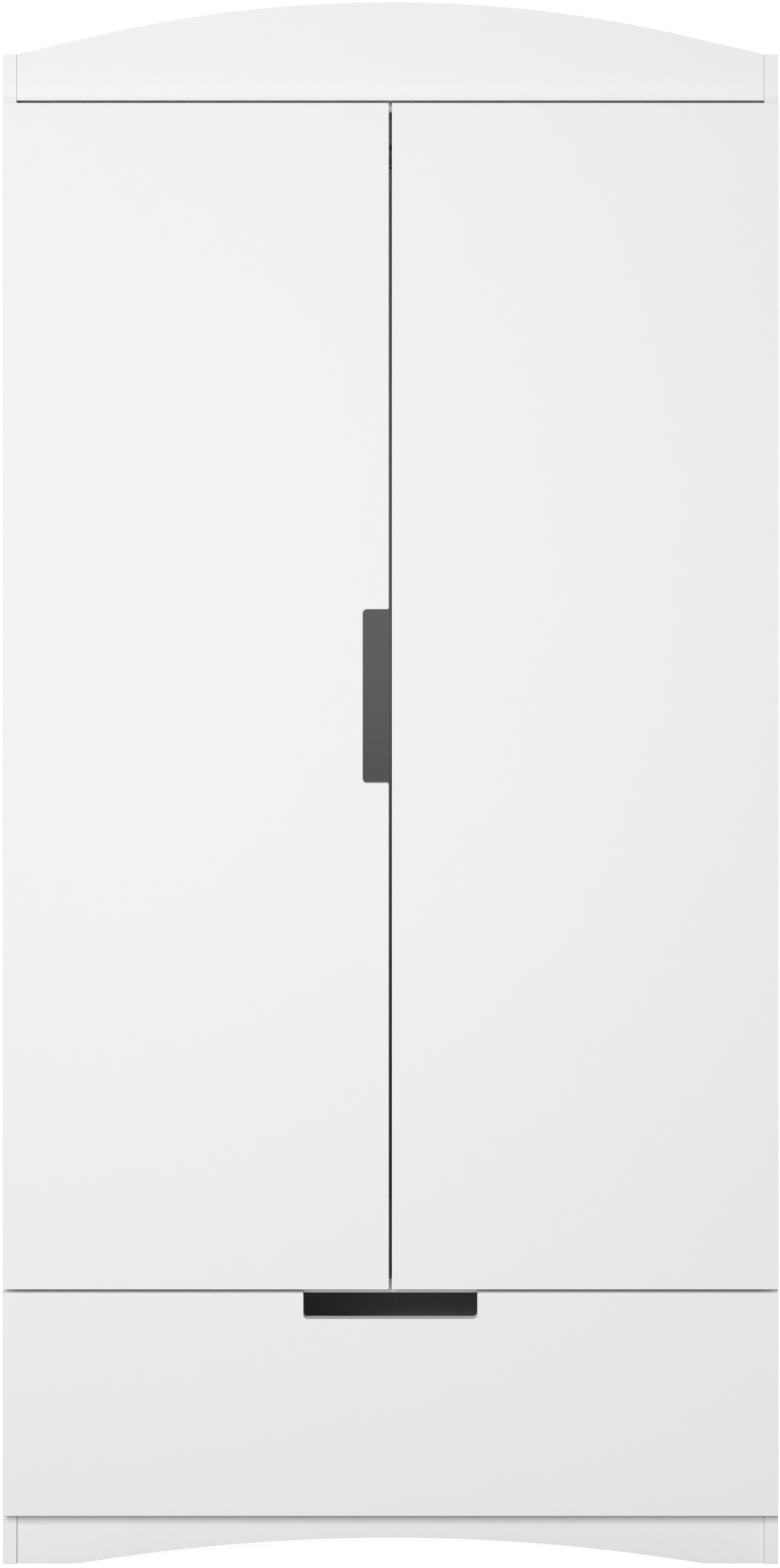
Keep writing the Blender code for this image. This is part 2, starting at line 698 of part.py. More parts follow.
def angle_bracket(name, flat_leg, up_leg, facing, at, finish):
    """A steel angle lying on -Z and standing against the plane at its origin, facing +Y or -Y."""
    outline = [
        (0, 0),
        (flat_leg, 0),
        (flat_leg, ANGLE_THICKNESS),
        (ANGLE_THICKNESS, ANGLE_THICKNESS),
        (ANGLE_THICKNESS, up_leg),
        (0, up_leg),
    ]
    outline = [(-facing * y, z) for y, z in outline]
    mesh = prism(name, outline, "X", -ANGLE_WIDTH / 2, ANGLE_WIDTH / 2)
    place(name, mesh, at, finish)


def brackets(finish):
    """Angles that hold the crown to the top panel, and angles that hold the top panel to a wall."""
    z = TOP_PANEL_TOP + FIT
    crown_y = CARCASS_FRONT + BOARD + FIT
    for side, hand in HANDS.items():
        crown = (hand * ANGLE_FROM_MIDDLE, crown_y, z)
        angle_bracket(f"crown_bracket_{side}", ANGLE_LEG, ANGLE_LEG, -1, crown, finish)
        wall = (hand * (INNER_HALF - WALL_ANGLE_FROM_SIDE), CARCASS_BACK, z)
        angle_bracket(f"wall_bracket_{side}", WALL_ANGLE_LEG, ANGLE_LEG, 1, wall, finish)


def main():
    clear_scene()
    white = new_material("white_lacquer", (0.86, 0.86, 0.86), 0.38)
    inside = new_material("white_melamine", (0.80, 0.80, 0.80), 0.45)
    hardboard = new_material("white_hardboard", (0.76, 0.76, 0.75), 0.6)
    steel = new_material("nickelled_steel", (0.62, 0.62, 0.61), 0.28, 1.0)
    coated = new_material("coated_steel", (0.82, 0.82, 0.80), 0.4, 0.0)
    chrome = new_material("chromed_tube", (0.75, 0.75, 0.76), 0.12, 1.0)
    plastic = new_material("white_plastic", (0.80, 0.80, 0.78), 0.4)
    soft = new_material("clear_soft_pad", (0.70, 0.70, 0.70), 0.3)
    for side in HANDS:
        side_panel(side, white)
    crown_board(white)
    plinth_board(white)
    carcass_boards(inside)
    back_panels(hardboard, plastic)
    floor_glides(plastic)
    hanging_rail(chrome, plastic)
    for side in HANDS:
        door(side, white, steel, soft)
    drawer = pivot("drawer_axis", (0, DOOR_BACK, DRAWER_BOTTOM))
    drawer_box(white, inside, hardboard, drawer)
    slides_and_rollers(coated, plastic, drawer)
    brackets(steel)


main()
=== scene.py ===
import math

import bmesh
import bpy
import numpy as np
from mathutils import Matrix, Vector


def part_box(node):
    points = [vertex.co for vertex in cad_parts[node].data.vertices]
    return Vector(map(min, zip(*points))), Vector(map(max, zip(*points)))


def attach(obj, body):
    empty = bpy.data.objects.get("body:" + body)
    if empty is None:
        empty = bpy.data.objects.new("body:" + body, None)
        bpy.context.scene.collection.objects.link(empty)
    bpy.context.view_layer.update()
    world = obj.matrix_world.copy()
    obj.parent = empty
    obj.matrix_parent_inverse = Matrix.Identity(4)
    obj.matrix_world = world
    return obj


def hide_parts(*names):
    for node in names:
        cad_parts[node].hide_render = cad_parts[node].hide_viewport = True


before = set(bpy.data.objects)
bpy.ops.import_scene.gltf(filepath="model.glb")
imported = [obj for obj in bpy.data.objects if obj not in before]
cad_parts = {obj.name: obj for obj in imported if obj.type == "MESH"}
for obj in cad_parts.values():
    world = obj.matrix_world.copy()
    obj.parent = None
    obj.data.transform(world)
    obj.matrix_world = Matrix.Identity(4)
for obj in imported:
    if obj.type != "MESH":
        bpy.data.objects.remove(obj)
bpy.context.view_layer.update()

bl_info = {
    "name": "Nursery Wardrobe Finish",
    "version": (1, 0, 0),
    "blender": (4, 5, 0),
    "location": "3D View > Sidebar > Wardrobe",
    "description": "Builds the fittings, finishes and studio of a two-door wardrobe around its packed frame",
    "category": "Object",
}

MM = 0.001
X, Y, Z = np.eye(3)
HANDS = {"left": -1, "right": 1}
LEVELS = ("lower", "middle", "upper")
ENDS = ("front", "rear")


def low(node):
    """The lowest corner of a CAD node."""
    return np.array(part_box(node)[0])


def high(node):
    """The highest corner of a CAD node."""
    return np.array(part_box(node)[1])


def middle(node):
    """The middle of a CAD node's box."""
    return (low(node) + high(node)) / 2


def span(node):
    """The size of a CAD node's box along X, Y and Z."""
    return high(node) - low(node)


def face_x(node, hand, pick=max):
    """The X of the face of a node that looks away from the wardrobe's middle, or with min towards it."""
    return hand * pick(abs(low(node)[0]), abs(high(node)[0]))


CARCASS_FRONT_Y = low("side_panel_left")[1]
INNER_HALF = low("side_panel_right")[0]
BACK_Y = high("back_panel_left")[1]

BOARD_NODES = {
    "white_lacquer": (
        "side_panel_left", "side_panel_right", "crown_board", "plinth_board",
        "left_door", "right_door", "drawer_front",
    ),
    "white_melamine": (
        "top_panel", "fixed_shelf", "base_panel", "rear_rail", "rear_plinth",
        "drawer_side_left", "drawer_side_right", "drawer_back",
    ),
    "white_hardboard": ("back_panel_left", "back_panel_right", "drawer_bottom"),
    "white_plastic": ("back_joining_strip",),
}


def colour(name, description, default):
    """A colour that a user can set."""
    return bpy.props.FloatVectorProperty(
        name=name, description=description, subtype="COLOR", size=3, default=default, min=0, max=1
    )


def number(name, description, default, **more):
    """A size, a power or a strength that a user can set."""
    return bpy.props.FloatProperty(name=name, description=description, default=default, **more)


class FinishSettings(bpy.types.PropertyGroup):
    """Colours and surface of the boards and fittings."""

    lacquer: colour("Lacquer", "Colour of the lacquered fronts and sides", (0.86, 0.86, 0.86))
    melamine: colour("Melamine", "Colour of the boards inside", (0.82, 0.82, 0.82))
    hardboard: colour("Hardboard face", "Colour of the thin panels' painted face", (0.80, 0.80, 0.79))
    raw_fibre: colour("Raw hardboard", "Colour of the thin panels' bare rear face", (0.36, 0.235, 0.135))
    plastic: colour("Plastic", "Colour of the moulded fittings", (0.80, 0.80, 0.78))
    coated: colour("Coated steel", "Colour of the drawer's slides", (0.84, 0.84, 0.82))
    pad: colour("Pads", "Colour of the soft pads behind the doors", (0.75, 0.75, 0.74))
    nickel: colour("Nickel", "Colour of the plated steel fittings", (0.64, 0.63, 0.61))
    # Painted shade: the rail's chrome is set much darker than bare chrome, for the shade and the dark
    # reflections it has inside the closed wardrobe.
    chrome_with_painted_shade: colour("Chrome", "Colour of the hanging rail", (0.32, 0.32, 0.33))
    sheen: number("Lacquer roughness", "Low is glossy, high is matt", 0.42, min=0, max=1)
    eased_edge: number(
        "Eased edge", "Width of the rounding on the boards' edges", 0.0004,
        min=0.0001, max=0.003, unit="LENGTH",
    )


class FittingSettings(bpy.types.PropertyGroup):
    """Sizes of the fittings that the frame leaves open."""

    screw: number("Screw head radius", "On hinges, plates and brackets", 0.0036, unit="LENGTH")
    screw_proud: number("Screw head height", "Above the fitting that it holds", 0.0009, unit="LENGTH")
    cam: number("Cam radius", "Of the cam locks that join the boards", 0.0075, unit="LENGTH")
    nail: number("Nail head radius", "On the back of the wardrobe", 0.0028, unit="LENGTH")
    nail_spacing: number("Nail spacing", "Along each board that holds the back", 0.115, unit="LENGTH")
    spokes: bpy.props.IntProperty(
        name="Roller spokes", description="Ribs on the faces of each drawer roller", default=6, min=3, max=12
    )


class StudioSettings(bpy.types.PropertyGroup):
    """The camera, the light and the floor."""

    distance: number("Camera distance", "From the carcass front to the camera", 5.2, unit="LENGTH")
    height: number("Camera height", "Above the floor", 1.514, unit="LENGTH")
    sideways: number("Camera offset", "To the right of the wardrobe's middle", -0.0005, unit="LENGTH")
    frame_height: number("Frame height", "What the lens takes in at the carcass front", 2.0226, unit="LENGTH")
    shift: number("Lens shift", "As a share of the frame's height", -0.25)
    world: number("Surrounding light", "Strength of the even light all round", 0.219)
    key: number("Key light", "Power of the large light at the upper left", 832.0, unit="POWER")
    fill: number("Fill light", "Power of the small light in front of the doors", 9.8, unit="POWER")
    sides: number("Side lights", "Power of the light at each side", 100.0, unit="POWER")
    back: number("Back light", "Power of the light behind the wardrobe", 130.0, unit="POWER")
    inside: number("Inside light", "Power of the faint light in the wardrobe", 0.30, unit="POWER")
    white: number("White room", "How bright the room is to the lens, and overhead in polished parts", 1.1)
    mirrored: number("Mirrored room", "How bright the room is at eye level in polished parts", 0.12)
    floor_glow: number("Floor glow", "How bright the floor looks by itself", 0.96)
    floor_light: number("Floor light", "How much the floor lights the wardrobe", 0.03)


def finishes():
    return bpy.context.scene.wardrobe_finish


def fittings():
    return bpy.context.scene.wardrobe_fittings


def studio():
    return bpy.context.scene.wardrobe_studio


# Shapes: a shell is (points, corners of the faces one after another, corners in each face)


def skin(rings, loop=False):
    """Joins rings of points, an array (ring, point, 3), into a closed shell.

    Quads lie between each ring and the next. The first and the last ring get a flat face, unless the
    rings form a loop and the last one meets the first.
    """
    count, around = rings.shape[:2]
    ring = np.arange(count if loop else count - 1)[:, None]
    point = np.arange(around)[None]
    after = (point + 1) % around
    above = (ring + 1) % count * around
    below = ring * around
    quads = np.stack([below + point, below + after, above + after, above + point], -1).reshape(-1, 4)
    if loop:
        return rings.reshape(-1, 3), quads.ravel(), np.full(len(quads), 4)
    ends = np.concatenate([np.arange(around)[::-1], np.arange(around) + (count - 1) * around])
    sizes = np.concatenate([np.full(len(quads), 4), [around, around]])
    return rings.reshape(-1, 3), np.concatenate([quads.ravel(), ends]), sizes


def joined(shells):
    """Several shells as one."""
    starts = np.cumsum([0] + [len(points) for points, _, _ in shells[:-1]])
    points = np.concatenate([points for points, _, _ in shells])
    corners = np.concatenate([corners + start for (_, corners, _), start in zip(shells, starts)])
    return points, corners, np.concatenate([sizes for _, _, sizes in shells])


def seated(shell, at, across, up, out):
    """A shell turned so that its three axes run across, up and out, and moved to a place."""
    points, corners, sizes = shell
    return points @ np.array([across, up, out]) + np.array(at), corners, sizes


def repeated(shell, places, across, up, out):
    """The same shell, turned alike, at every place of a list."""
    points, corners, sizes = shell
    turned = points @ np.array([across, up, out])
    every = turned[None] + np.array(places)[:, None]
    offset = np.arange(len(places))[:, None] * len(points)
    return every.reshape(-1, 3), (corners[None] + offset).ravel(), np.tile(sizes, len(places))


def turn(count):
    """Even angles once round, half a step off the axes."""
    return (np.arange(count) + 0.5) * 2 * np.pi / count


def smooth(value):
    """0 below 0, 1 above 1, and 3 t^2 - 2 t^3 between."""
    t = np.clip(value, 0, 1)
    return t * t * (3 - 2 * t)


def rounded(half_u, half_v, radius, count=32):
    """A rectangle with round corners: a circle's four quarters, each moved out to its corner."""
    angle = turn(count)
    cos, sin = np.cos(angle), np.sin(angle)
    u = radius * cos + np.sign(cos) * (half_u - radius)
    v = radius * sin + np.sign(sin) * (half_v - radius)
    return np.stack([u, v], 1)


def even(outline, count):
    """A closed outline cut again into equal steps along its length."""
    closed = np.vstack([outline, outline[:1]])
    length = np.concatenate([[0], np.cumsum(np.linalg.norm(np.diff(closed, axis=0), axis=1))])
    at = np.linspace(0, length[-1], count, endpoint=False)
    return np.stack([np.interp(at, length, closed[:, 0]), np.interp(at, length, closed[:, 1])], 1)


def cross_outline(first, second, count):
    """Two shapes one over the other, such as a bar across a disc: at each angle, the longer reach of the two.

    Each shape is (half width, half height, power) of a superellipse: power 2 is an ellipse, and 9 is a bar
    with soft corners. A mean with power 18 blends them where they meet.
    """
    angle = turn(count)
    cos, sin = np.abs(np.cos(angle)), np.abs(np.sin(angle))
    reaches = [((cos / u) ** power + (sin / v) ** power) ** (-1 / power) for u, v, power in (first, second)]
    reach = (reaches[0] ** 18 + reaches[1] ** 18) ** (1 / 18)
    return np.stack([reach * np.cos(angle), reach * np.sin(angle)], 1)


def stack(levels):
    """A shell from outlines at their heights: pairs of an outline (point, 2) and a height."""
    rings = [np.column_stack([outline, np.broadcast_to(height, len(outline))]) for outline, height in levels]
    return skin(np.array(rings))


def drawn_in(outline, inset):
    """An outline whose points all move towards its middle by the same distance."""
    reach = np.linalg.norm(outline, axis=1, keepdims=True)
    return outline * np.maximum(1 - inset / reach, 0.02)


def lathe(profile, count=32):
    """A profile of (radius, height) pairs turned round the third axis."""
    profile = np.array(profile)
    angle = turn(count)
    rings = np.stack(
        [
            profile[:, :1] * np.cos(angle),
            profile[:, :1] * np.sin(angle),
            np.repeat(profile[:, 1:], count, axis=1),
        ],
        -1,
    )
    return skin(rings)


def swept(profile, path, across):
    """Carries a profile along a path that lies square to one direction.

    The profile, (point, 2) or one for each place on the path, gives the distance along that direction
    and the distance square to both it and the path.
    """
    ahead = np.gradient(path, axis=0)
    ahead /= np.linalg.norm(ahead, axis=1, keepdims=True)
    up = np.cross(ahead, across)
    profile = np.broadcast_to(profile, (len(path), *np.shape(profile)[-2:]))
    return skin(path[:, None] + profile[..., :1] * across + profile[..., 1:] * up[:, None])


def folded(lengths, turns, radius, thickness, steps=5):
    """The outline of a bent sheet: a line that turns by each angle between straight lengths, made thick.

    The line is the running sum of its heading. The sheet's two faces are half the thickness to each side.
    """
    heading, place = 0.0, np.zeros(2)
    line, normals = [place.copy()], [np.array([0.0, 1.0])]
    for length, angle in zip(lengths, (*turns, None)):
        place = place + length * np.array([math.cos(heading), math.sin(heading)])
        line.append(place.copy())
        normals.append(np.array([-math.sin(heading), math.cos(heading)]))
        if angle is None:
            break
        side = math.copysign(1, angle)
        centre = place + side * radius * normals[-1]
        bend = heading + angle * np.arange(1, steps + 1) / steps
        across = np.stack([-np.sin(bend), np.cos(bend)], 1)
        line.extend(centre - side * radius * across)
        normals.extend(across)
        place, heading = line[-1], heading + angle
    line, normals = np.array(line), np.array(normals)
    half = thickness / 2
    return np.concatenate([line + half * normals, (line - half * normals)[::-1]])


def screw_head(radius, proud, slot=0.58, count=32):
    """A round head with a cross recess.

    The height over the polar grid is a shallow dome, proud x sqrt(1 - 0.75 r^2), less a recess where
    the smaller of |x| and |y| is under an eighth of the radius and the larger is under the slot's reach.
    """
    share = np.array([1, 1, 0.97, 0.88, 0.76, 0.66, 0.58, 0.50, 0.42, 0.33, 0.24, 0.15, 0.05])[:, None]
    angle = turn(count)[None]
    x, y = share * np.cos(angle), share * np.sin(angle)
    narrow, wide = np.minimum(abs(x), abs(y)), np.maximum(abs(x), abs(y))
    recess = smooth((0.2 - narrow) / 0.1) * smooth((slot - wide) / 0.1)
    height = proud * np.sqrt(1 - 0.75 * share**2) - 0.8 * proud * recess
    height[0] = -0.5 * proud
    height[1] = 0.25 * proud
    return skin(np.stack([radius * x, radius * y, height], -1))


def screws(places, *axes, wide=1, proud=1):
    """Screw heads at a list of places, in shares of the fittings' common radius and height."""
    size = fittings()
    return repeated(screw_head(size.screw * wide, size.screw_proud * proud), places, *axes)


def nail_head(radius):
    """A flat head with a shallow dome."""
    return lathe(radius * np.array([(1, -0.1), (1, 0.12), (0.62, 0.28), (0.1, 0.34)]), 8)


def rod(radius, start, end, ease, count=24):
    """A round bar along the third axis with eased ends."""
    return lathe(
        [
            (radius - ease, start), (radius - 0.3 * ease, start + 0.3 * ease), (radius, start + ease),
            (radius, end - ease), (radius - 0.3 * ease, end - 0.3 * ease), (radius - ease, end),
        ],
        count,
    )


def along_y(sections, ys, at):
    """Carries sections of (x, z) points straight along Y, one to each y, and moves the shell to a place."""
    depth = np.broadcast_to(ys[:, None], sections.shape[:2])
    return skin(np.stack([sections[..., 0], depth, sections[..., 1]], -1) + at)


def mesh_object(name, shell, material):
    """An object at the origin from a shell, its faces turned outwards and its round ones smooth."""
    points, corners, sizes = shell
    mesh = bpy.data.meshes.new(name)
    mesh.vertices.add(len(points))
    mesh.vertices.foreach_set("co", np.ascontiguousarray(points, np.float32).ravel())
    mesh.loops.add(len(corners))
    mesh.loops.foreach_set("vertex_index", np.ascontiguousarray(corners, np.int32))
    mesh.polygons.add(len(sizes))
    mesh.polygons.foreach_set("loop_start", (np.cumsum(sizes) - sizes).astype(np.int32))
    mesh.update(calc_edges=True)
    work = bmesh.new()
    work.from_mesh(mesh)
    bmesh.ops.recalc_face_normals(work, faces=work.faces)
    work.to_mesh(mesh)
    work.free()
    mesh.shade_smooth()
    mesh.set_sharp_from_angle(angle=math.radians(35))
    mesh.materials.append(material)
    made = bpy.data.objects.new(name, mesh)
    bpy.context.scene.collection.objects.link(made)
    return made


def fitting(name, body, slot, shell, node=None):
    """A piece with its slot's finish, which rides on a body and stands for a CAD node if one is named."""
    made = mesh_object(name, shell, finish(slot))
    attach(made, body)
    if node:
        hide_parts(node)


# Materials


def new_group(name, inputs, outputs):
    """An empty node group with named sockets: (label, kind, default) in, (label, kind) out."""
    tree = bpy.data.node_groups.new(name, "ShaderNodeTree")
    for label, kind, default in inputs:
        socket = tree.interface.new_socket(label, in_out="INPUT", socket_type="NodeSocket" + kind)
        socket.default_value = default
    for label, kind in outputs:
        tree.interface.new_socket(label, in_out="OUTPUT", socket_type="NodeSocket" + kind)
    return tree, tree.nodes.new("NodeGroupInput"), tree.nodes.new("NodeGroupOutput")


def sum_of(tree, operation, first, second, third=None):
    """A Math node of two or three values, each a number or another node's output."""
    node = tree.nodes.new("ShaderNodeMath")
    node.operation = operation
    for socket, value in zip(node.inputs, (first, second, third)):
        if isinstance(value, bpy.types.NodeSocket):
            tree.links.new(value, socket)
        elif value is not None:
            socket.default_value = value
    return node.outputs[0]


def noise(tree, vector, scale, detail=2.0, rough=0.5):
    """Noise with a number of grains to the metre, which may be another node's output."""
    node = tree.nodes.new("ShaderNodeTexNoise")
    node.inputs["Detail"].default_value = detail
    node.inputs["Roughness"].default_value = rough
    tree.links.new(vector, node.inputs["Vector"])
    if isinstance(scale, bpy.types.NodeSocket):
        tree.links.new(scale, node.inputs["Scale"])
    else:
        node.inputs["Scale"].default_value = scale
    return node.outputs["Fac"]


def scaled_place(tree, scale):
    """Object coordinates multiplied by a vector."""
    place = tree.nodes.new("ShaderNodeTexCoord").outputs["Object"]
    node = tree.nodes.new("ShaderNodeVectorMath")
    node.operation = "MULTIPLY"
    tree.links.new(place, node.inputs[0])
    if isinstance(scale, bpy.types.NodeSocket):
        tree.links.new(scale, node.inputs[1])
    else:
        node.inputs[1].default_value = scale
    return node.outputs[0]


def toned(tree, colour, value):
    """A colour with its brightness multiplied by a value."""
    node = tree.nodes.new("ShaderNodeHueSaturation")
    tree.links.new(colour, node.inputs["Color"])
    tree.links.new(value, node.inputs["Value"])
    return node.outputs["Color"]


SKIN_INPUTS = (
    ("Colour", "Color", (0.8, 0.8, 0.8, 1)),
    ("Tone Spread", "Float", 0.01),
    ("Roughness", "Float", 0.4),
    ("Roughness Spread", "Float", 0.05),
    ("Grain Size", "Float", 0.0016),
    ("Grain Depth", "Float", 0.00002),
    ("Stretch", "Vector", (1, 1, 1)),
)
SKIN_OUTPUTS = (("Colour", "Color"), ("Roughness", "Float"), ("Height", "Float"))


def surface_skin():
    """The skin of a sprayed, pressed, moulded or plated surface.

    Fine noise of the grain's size gives the height. Broad clouds change the tone a little, and patches the
    size of a palm change the roughness.
    """
    if "surface_skin" in bpy.data.node_groups:
        return bpy.data.node_groups["surface_skin"]
    tree, given, made = new_group("surface_skin", SKIN_INPUTS, SKIN_OUTPUTS)
    place = scaled_place(tree, given.outputs["Stretch"])
    scale = sum_of(tree, "DIVIDE", 1.0, given.outputs["Grain Size"])
    grain = noise(tree, place, scale, 3.0, 0.55)
    clouds = noise(tree, place, 2.2, 3.0)
    patches = noise(tree, place, 14.0, 4.0, 0.6)
    cloudy = sum_of(tree, "SUBTRACT", clouds, 0.5)
    speckle = sum_of(tree, "SUBTRACT", grain, 0.5)
    uneven = sum_of(tree, "SUBTRACT", patches, 0.5)
    tone, spread = 1.0, given.outputs["Tone Spread"]
    for change in (cloudy, speckle):
        tone = sum_of(tree, "MULTIPLY_ADD", change, spread, tone)
    tree.links.new(toned(tree, given.outputs["Colour"], tone), made.inputs["Colour"])
    spread = given.outputs["Roughness Spread"]
    rough = sum_of(tree, "MULTIPLY_ADD", uneven, spread, given.outputs["Roughness"])
    tree.links.new(rough, made.inputs["Roughness"])
    height = sum_of(tree, "MULTIPLY", speckle, given.outputs["Grain Depth"])
    tree.links.new(height, made.inputs["Height"])
    return tree


def new_material(name):
    """A material, its node tree and its shader."""
    made = bpy.data.materials.new(name)
    made.use_nodes = True
    return made, made.node_tree, made.node_tree.nodes["Principled BSDF"]


# For each slot: its colour's setting, its specular level, or None for metal, and its surface skin's values in
# the order of SKIN_LABELS. A roughness of None is the one that the lacquer's setting gives.
SKIN_LABELS = ("Roughness", "Roughness Spread", "Grain Size", "Grain Depth", "Tone Spread", "Stretch")
EVEN = (1, 1, 1)
SKINS = {
    "white_lacquer": ("lacquer", 0.4, None, 0.06, 2.2 * MM, 0.012 * MM, 0.012, EVEN),
    "white_melamine": ("melamine", 0.4, 0.5, 0.08, 1.1 * MM, 0.04 * MM, 0.016, EVEN),
    "white_hardboard": ("hardboard", 0.3, 0.55, 0.1, 0.9 * MM, 0.02 * MM, 0.02, EVEN),
    "white_plastic": ("plastic", 0.5, 0.42, 0.12, 0.7 * MM, 0.02 * MM, 0.03, EVEN),
    "coated_steel": ("coated", 0.5, 0.34, 0.12, 1.6 * MM, 0.04 * MM, 0.03, EVEN),
    "soft_pad": ("pad", 0.5, 0.3, 0.2, 0.9 * MM, 0.01 * MM, 0.05, EVEN),
    # The chrome's dark colour is painted shade, for the rail's shade and dark reflections inside the closed
    # wardrobe.
    "chromed_tube": ("chrome_with_painted_shade", None, 0.08, 0.1, 1.0 * MM, 0.001 * MM, 0.06, (0.02, 1, 1)),
    "nickelled_steel": ("nickel", None, 0.3, 0.2, 0.6 * MM, 0.004 * MM, 0.16, (1, 1, 0.08)),
}
LOOKS = {}


def finish(slot):
    """The finish of a record slot, made once."""
    if slot not in LOOKS:
        LOOKS[slot] = make_finish(slot)
    return LOOKS[slot]


def make_finish(slot):
    """Paint, plastic or plated metal under the surface skin."""
    made, tree, shader = new_material(slot)
    setting, specular, roughness, *values = SKINS[slot]
    if specular is None:
        shader.inputs["Metallic"].default_value = 1.0
    else:
        shader.inputs["Specular IOR Level"].default_value = specular
    if roughness is None:
        roughness = finishes().sheen
    node = tree.nodes.new("ShaderNodeGroup")
    node.node_tree = surface_skin()
    node.inputs["Colour"].default_value = (*getattr(finishes(), setting), 1)
    for label, value in zip(SKIN_LABELS, (roughness, *values)):
        node.inputs[label].default_value = value
    bump = tree.nodes.new("ShaderNodeBump")
    bump.inputs["Distance"].default_value = 1.0
    tree.links.new(node.outputs["Roughness"], shader.inputs["Roughness"])
    tree.links.new(node.outputs["Height"], bump.inputs["Height"])
    tree.links.new(bump.outputs["Normal"], shader.inputs["Normal"])
    face = node.outputs["Colour"]
    if slot == "white_hardboard":
        face = bare_behind(tree, face)
    tree.links.new(face, shader.inputs["Base Color"])
    return made


def bare_behind(tree, face):
    """The colour of thin board: its painted face's, and that of bare pressed fibres behind it and under it.

    The bare side is where Object coordinates pass the middle of a back panel's thickness, or where they are
    below the middle of the drawer bottom. Two noises, each drawn out one way, are the fibres and flecks.
    """
    split = tree.nodes.new("ShaderNodeSeparateXYZ")
    place = tree.nodes.new("ShaderNodeTexCoord").outputs["Object"]
    tree.links.new(place, split.inputs[0])
    behind = sum_of(tree, "GREATER_THAN", split.outputs["Y"], middle("back_panel_left")[1])
    under = sum_of(tree, "LESS_THAN", split.outputs["Z"], middle("drawer_bottom")[2])
    in_drawer = sum_of(tree, "LESS_THAN", split.outputs["Y"], high("drawer_bottom")[1] + 10 * MM)
    bare = sum_of(tree, "MAXIMUM", behind, sum_of(tree, "MULTIPLY", under, in_drawer))
    fibres = noise(tree, scaled_place(tree, (1, 1, 0.35)), 900.0, 4.0, 0.7)
    flecks = noise(tree, scaled_place(tree, (0.35, 1, 1)), 420.0, 4.0, 0.75)
    shade = sum_of(tree, "ADD", sum_of(tree, "MULTIPLY", fibres, 0.9), sum_of(tree, "MULTIPLY", flecks, 0.9))
    raw = tree.nodes.new("ShaderNodeRGB")
    raw.outputs[0].default_value = (*finishes().raw_fibre, 1)
    brown = toned(tree, raw.outputs[0], sum_of(tree, "ADD", shade, 0.1))
    mix = tree.nodes.new("ShaderNodeMix")
    mix.data_type = "RGBA"
    tree.links.new(bare, mix.inputs["Factor"])
    tree.links.new(face, mix.inputs[6])
    tree.links.new(brown, mix.inputs[7])
    return mix.outputs[2]


def ease_edges(node, width, segments=2):
    """Rounds a board's edges: joins its loose triangles, merges flat faces and bevels the sharp edges."""
    weld = node.modifiers.new("Join", "WELD")
    weld.merge_threshold = 0.00002
    flat = node.modifiers.new("Merge flat faces", "DECIMATE")
    flat.decimate_type = "DISSOLVE"
    flat.angle_limit = math.radians(0.2)
    bevel = node.modifiers.new("Eased edges", "BEVEL")
    bevel.width = width
    bevel.segments = segments
    bevel.limit_method = "ANGLE"
    bevel.angle_limit = math.radians(30)
    bevel.harden_normals = True


# Hinges


def hinge_cup(hand, at):
    """A pressed cup with a rolled mouth and two screw wings, its pins and link inside.

    The outer wall, the flange, the lip and the inner wall are rings one after another: circles, except the
    flange, which is a circle blended with a crossing bar.
    """
    count = 96
    unit = np.stack([np.cos(turn(count)), np.sin(turn(count))], 1)
    outer, bore, deep = 17.2 * MM, 16.0 * MM, 11.5 * MM
    flange = cross_outline((18.4 * MM, 18.4 * MM, 2), (8 * MM, 31 * MM, 9), count)
    levels = [
        (unit * (outer - 1.2 * MM), -deep), (unit * (outer - 0.35 * MM), -deep + 0.35 * MM),
        (unit * outer, -deep + 1.2 * MM), (unit * outer, 0.3 * MM),
        (flange, 0.3 * MM), (flange, 0.75 * MM), (drawn_in(flange, 0.35 * MM), 1.1 * MM),
        (unit * (bore + 1.3 * MM), 1.15 * MM), (unit * (bore + 0.8 * MM), 1.35 * MM),
        (unit * (bore + 0.3 * MM), 1.2 * MM), (unit * bore, 0.7 * MM), (unit * bore, -8.6 * MM),
        (unit * (bore - 0.5 * MM), -9.7 * MM), (unit * (bore - 1.8 * MM), -10.2 * MM),
        (unit * 0.5 * MM, -10.2 * MM),
    ]
    heads = screws([(0, v * 24.6 * MM, 1.1 * MM) for v in (-1, 1)], X, Y, Z)
    first, second = (hand * 9.2 * MM, -7.2 * MM), (hand * 3.6 * MM, -5.0 * MM)
    pins = [
        seated(rod(1.4 * MM, -reach * MM, reach * MM, 0.3 * MM), (u, 0, w), X, Z, Y)
        for (u, w), reach in ((first, 13.4), (second, 7.5))
    ]
    link = rounded(4.6 * MM, 1.1 * MM, 1.05 * MM, 24)
    slope = np.array([first[0] - second[0], 0, first[1] - second[1]])
    slope /= np.linalg.norm(slope)
    centre = (np.array([first[0], 0, first[1]]) + np.array([second[0], 0, second[1]])) / 2
    link = seated(
        stack([(link * 0.8, -6 * MM), (link, -5.7 * MM), (link, 5.7 * MM), (link * 0.8, 6 * MM)]),
        centre, slope, np.cross(Y, slope), Y,
    )
    return seated(joined([stack(levels), heads, *pins, link]), at, X, Z, Y)


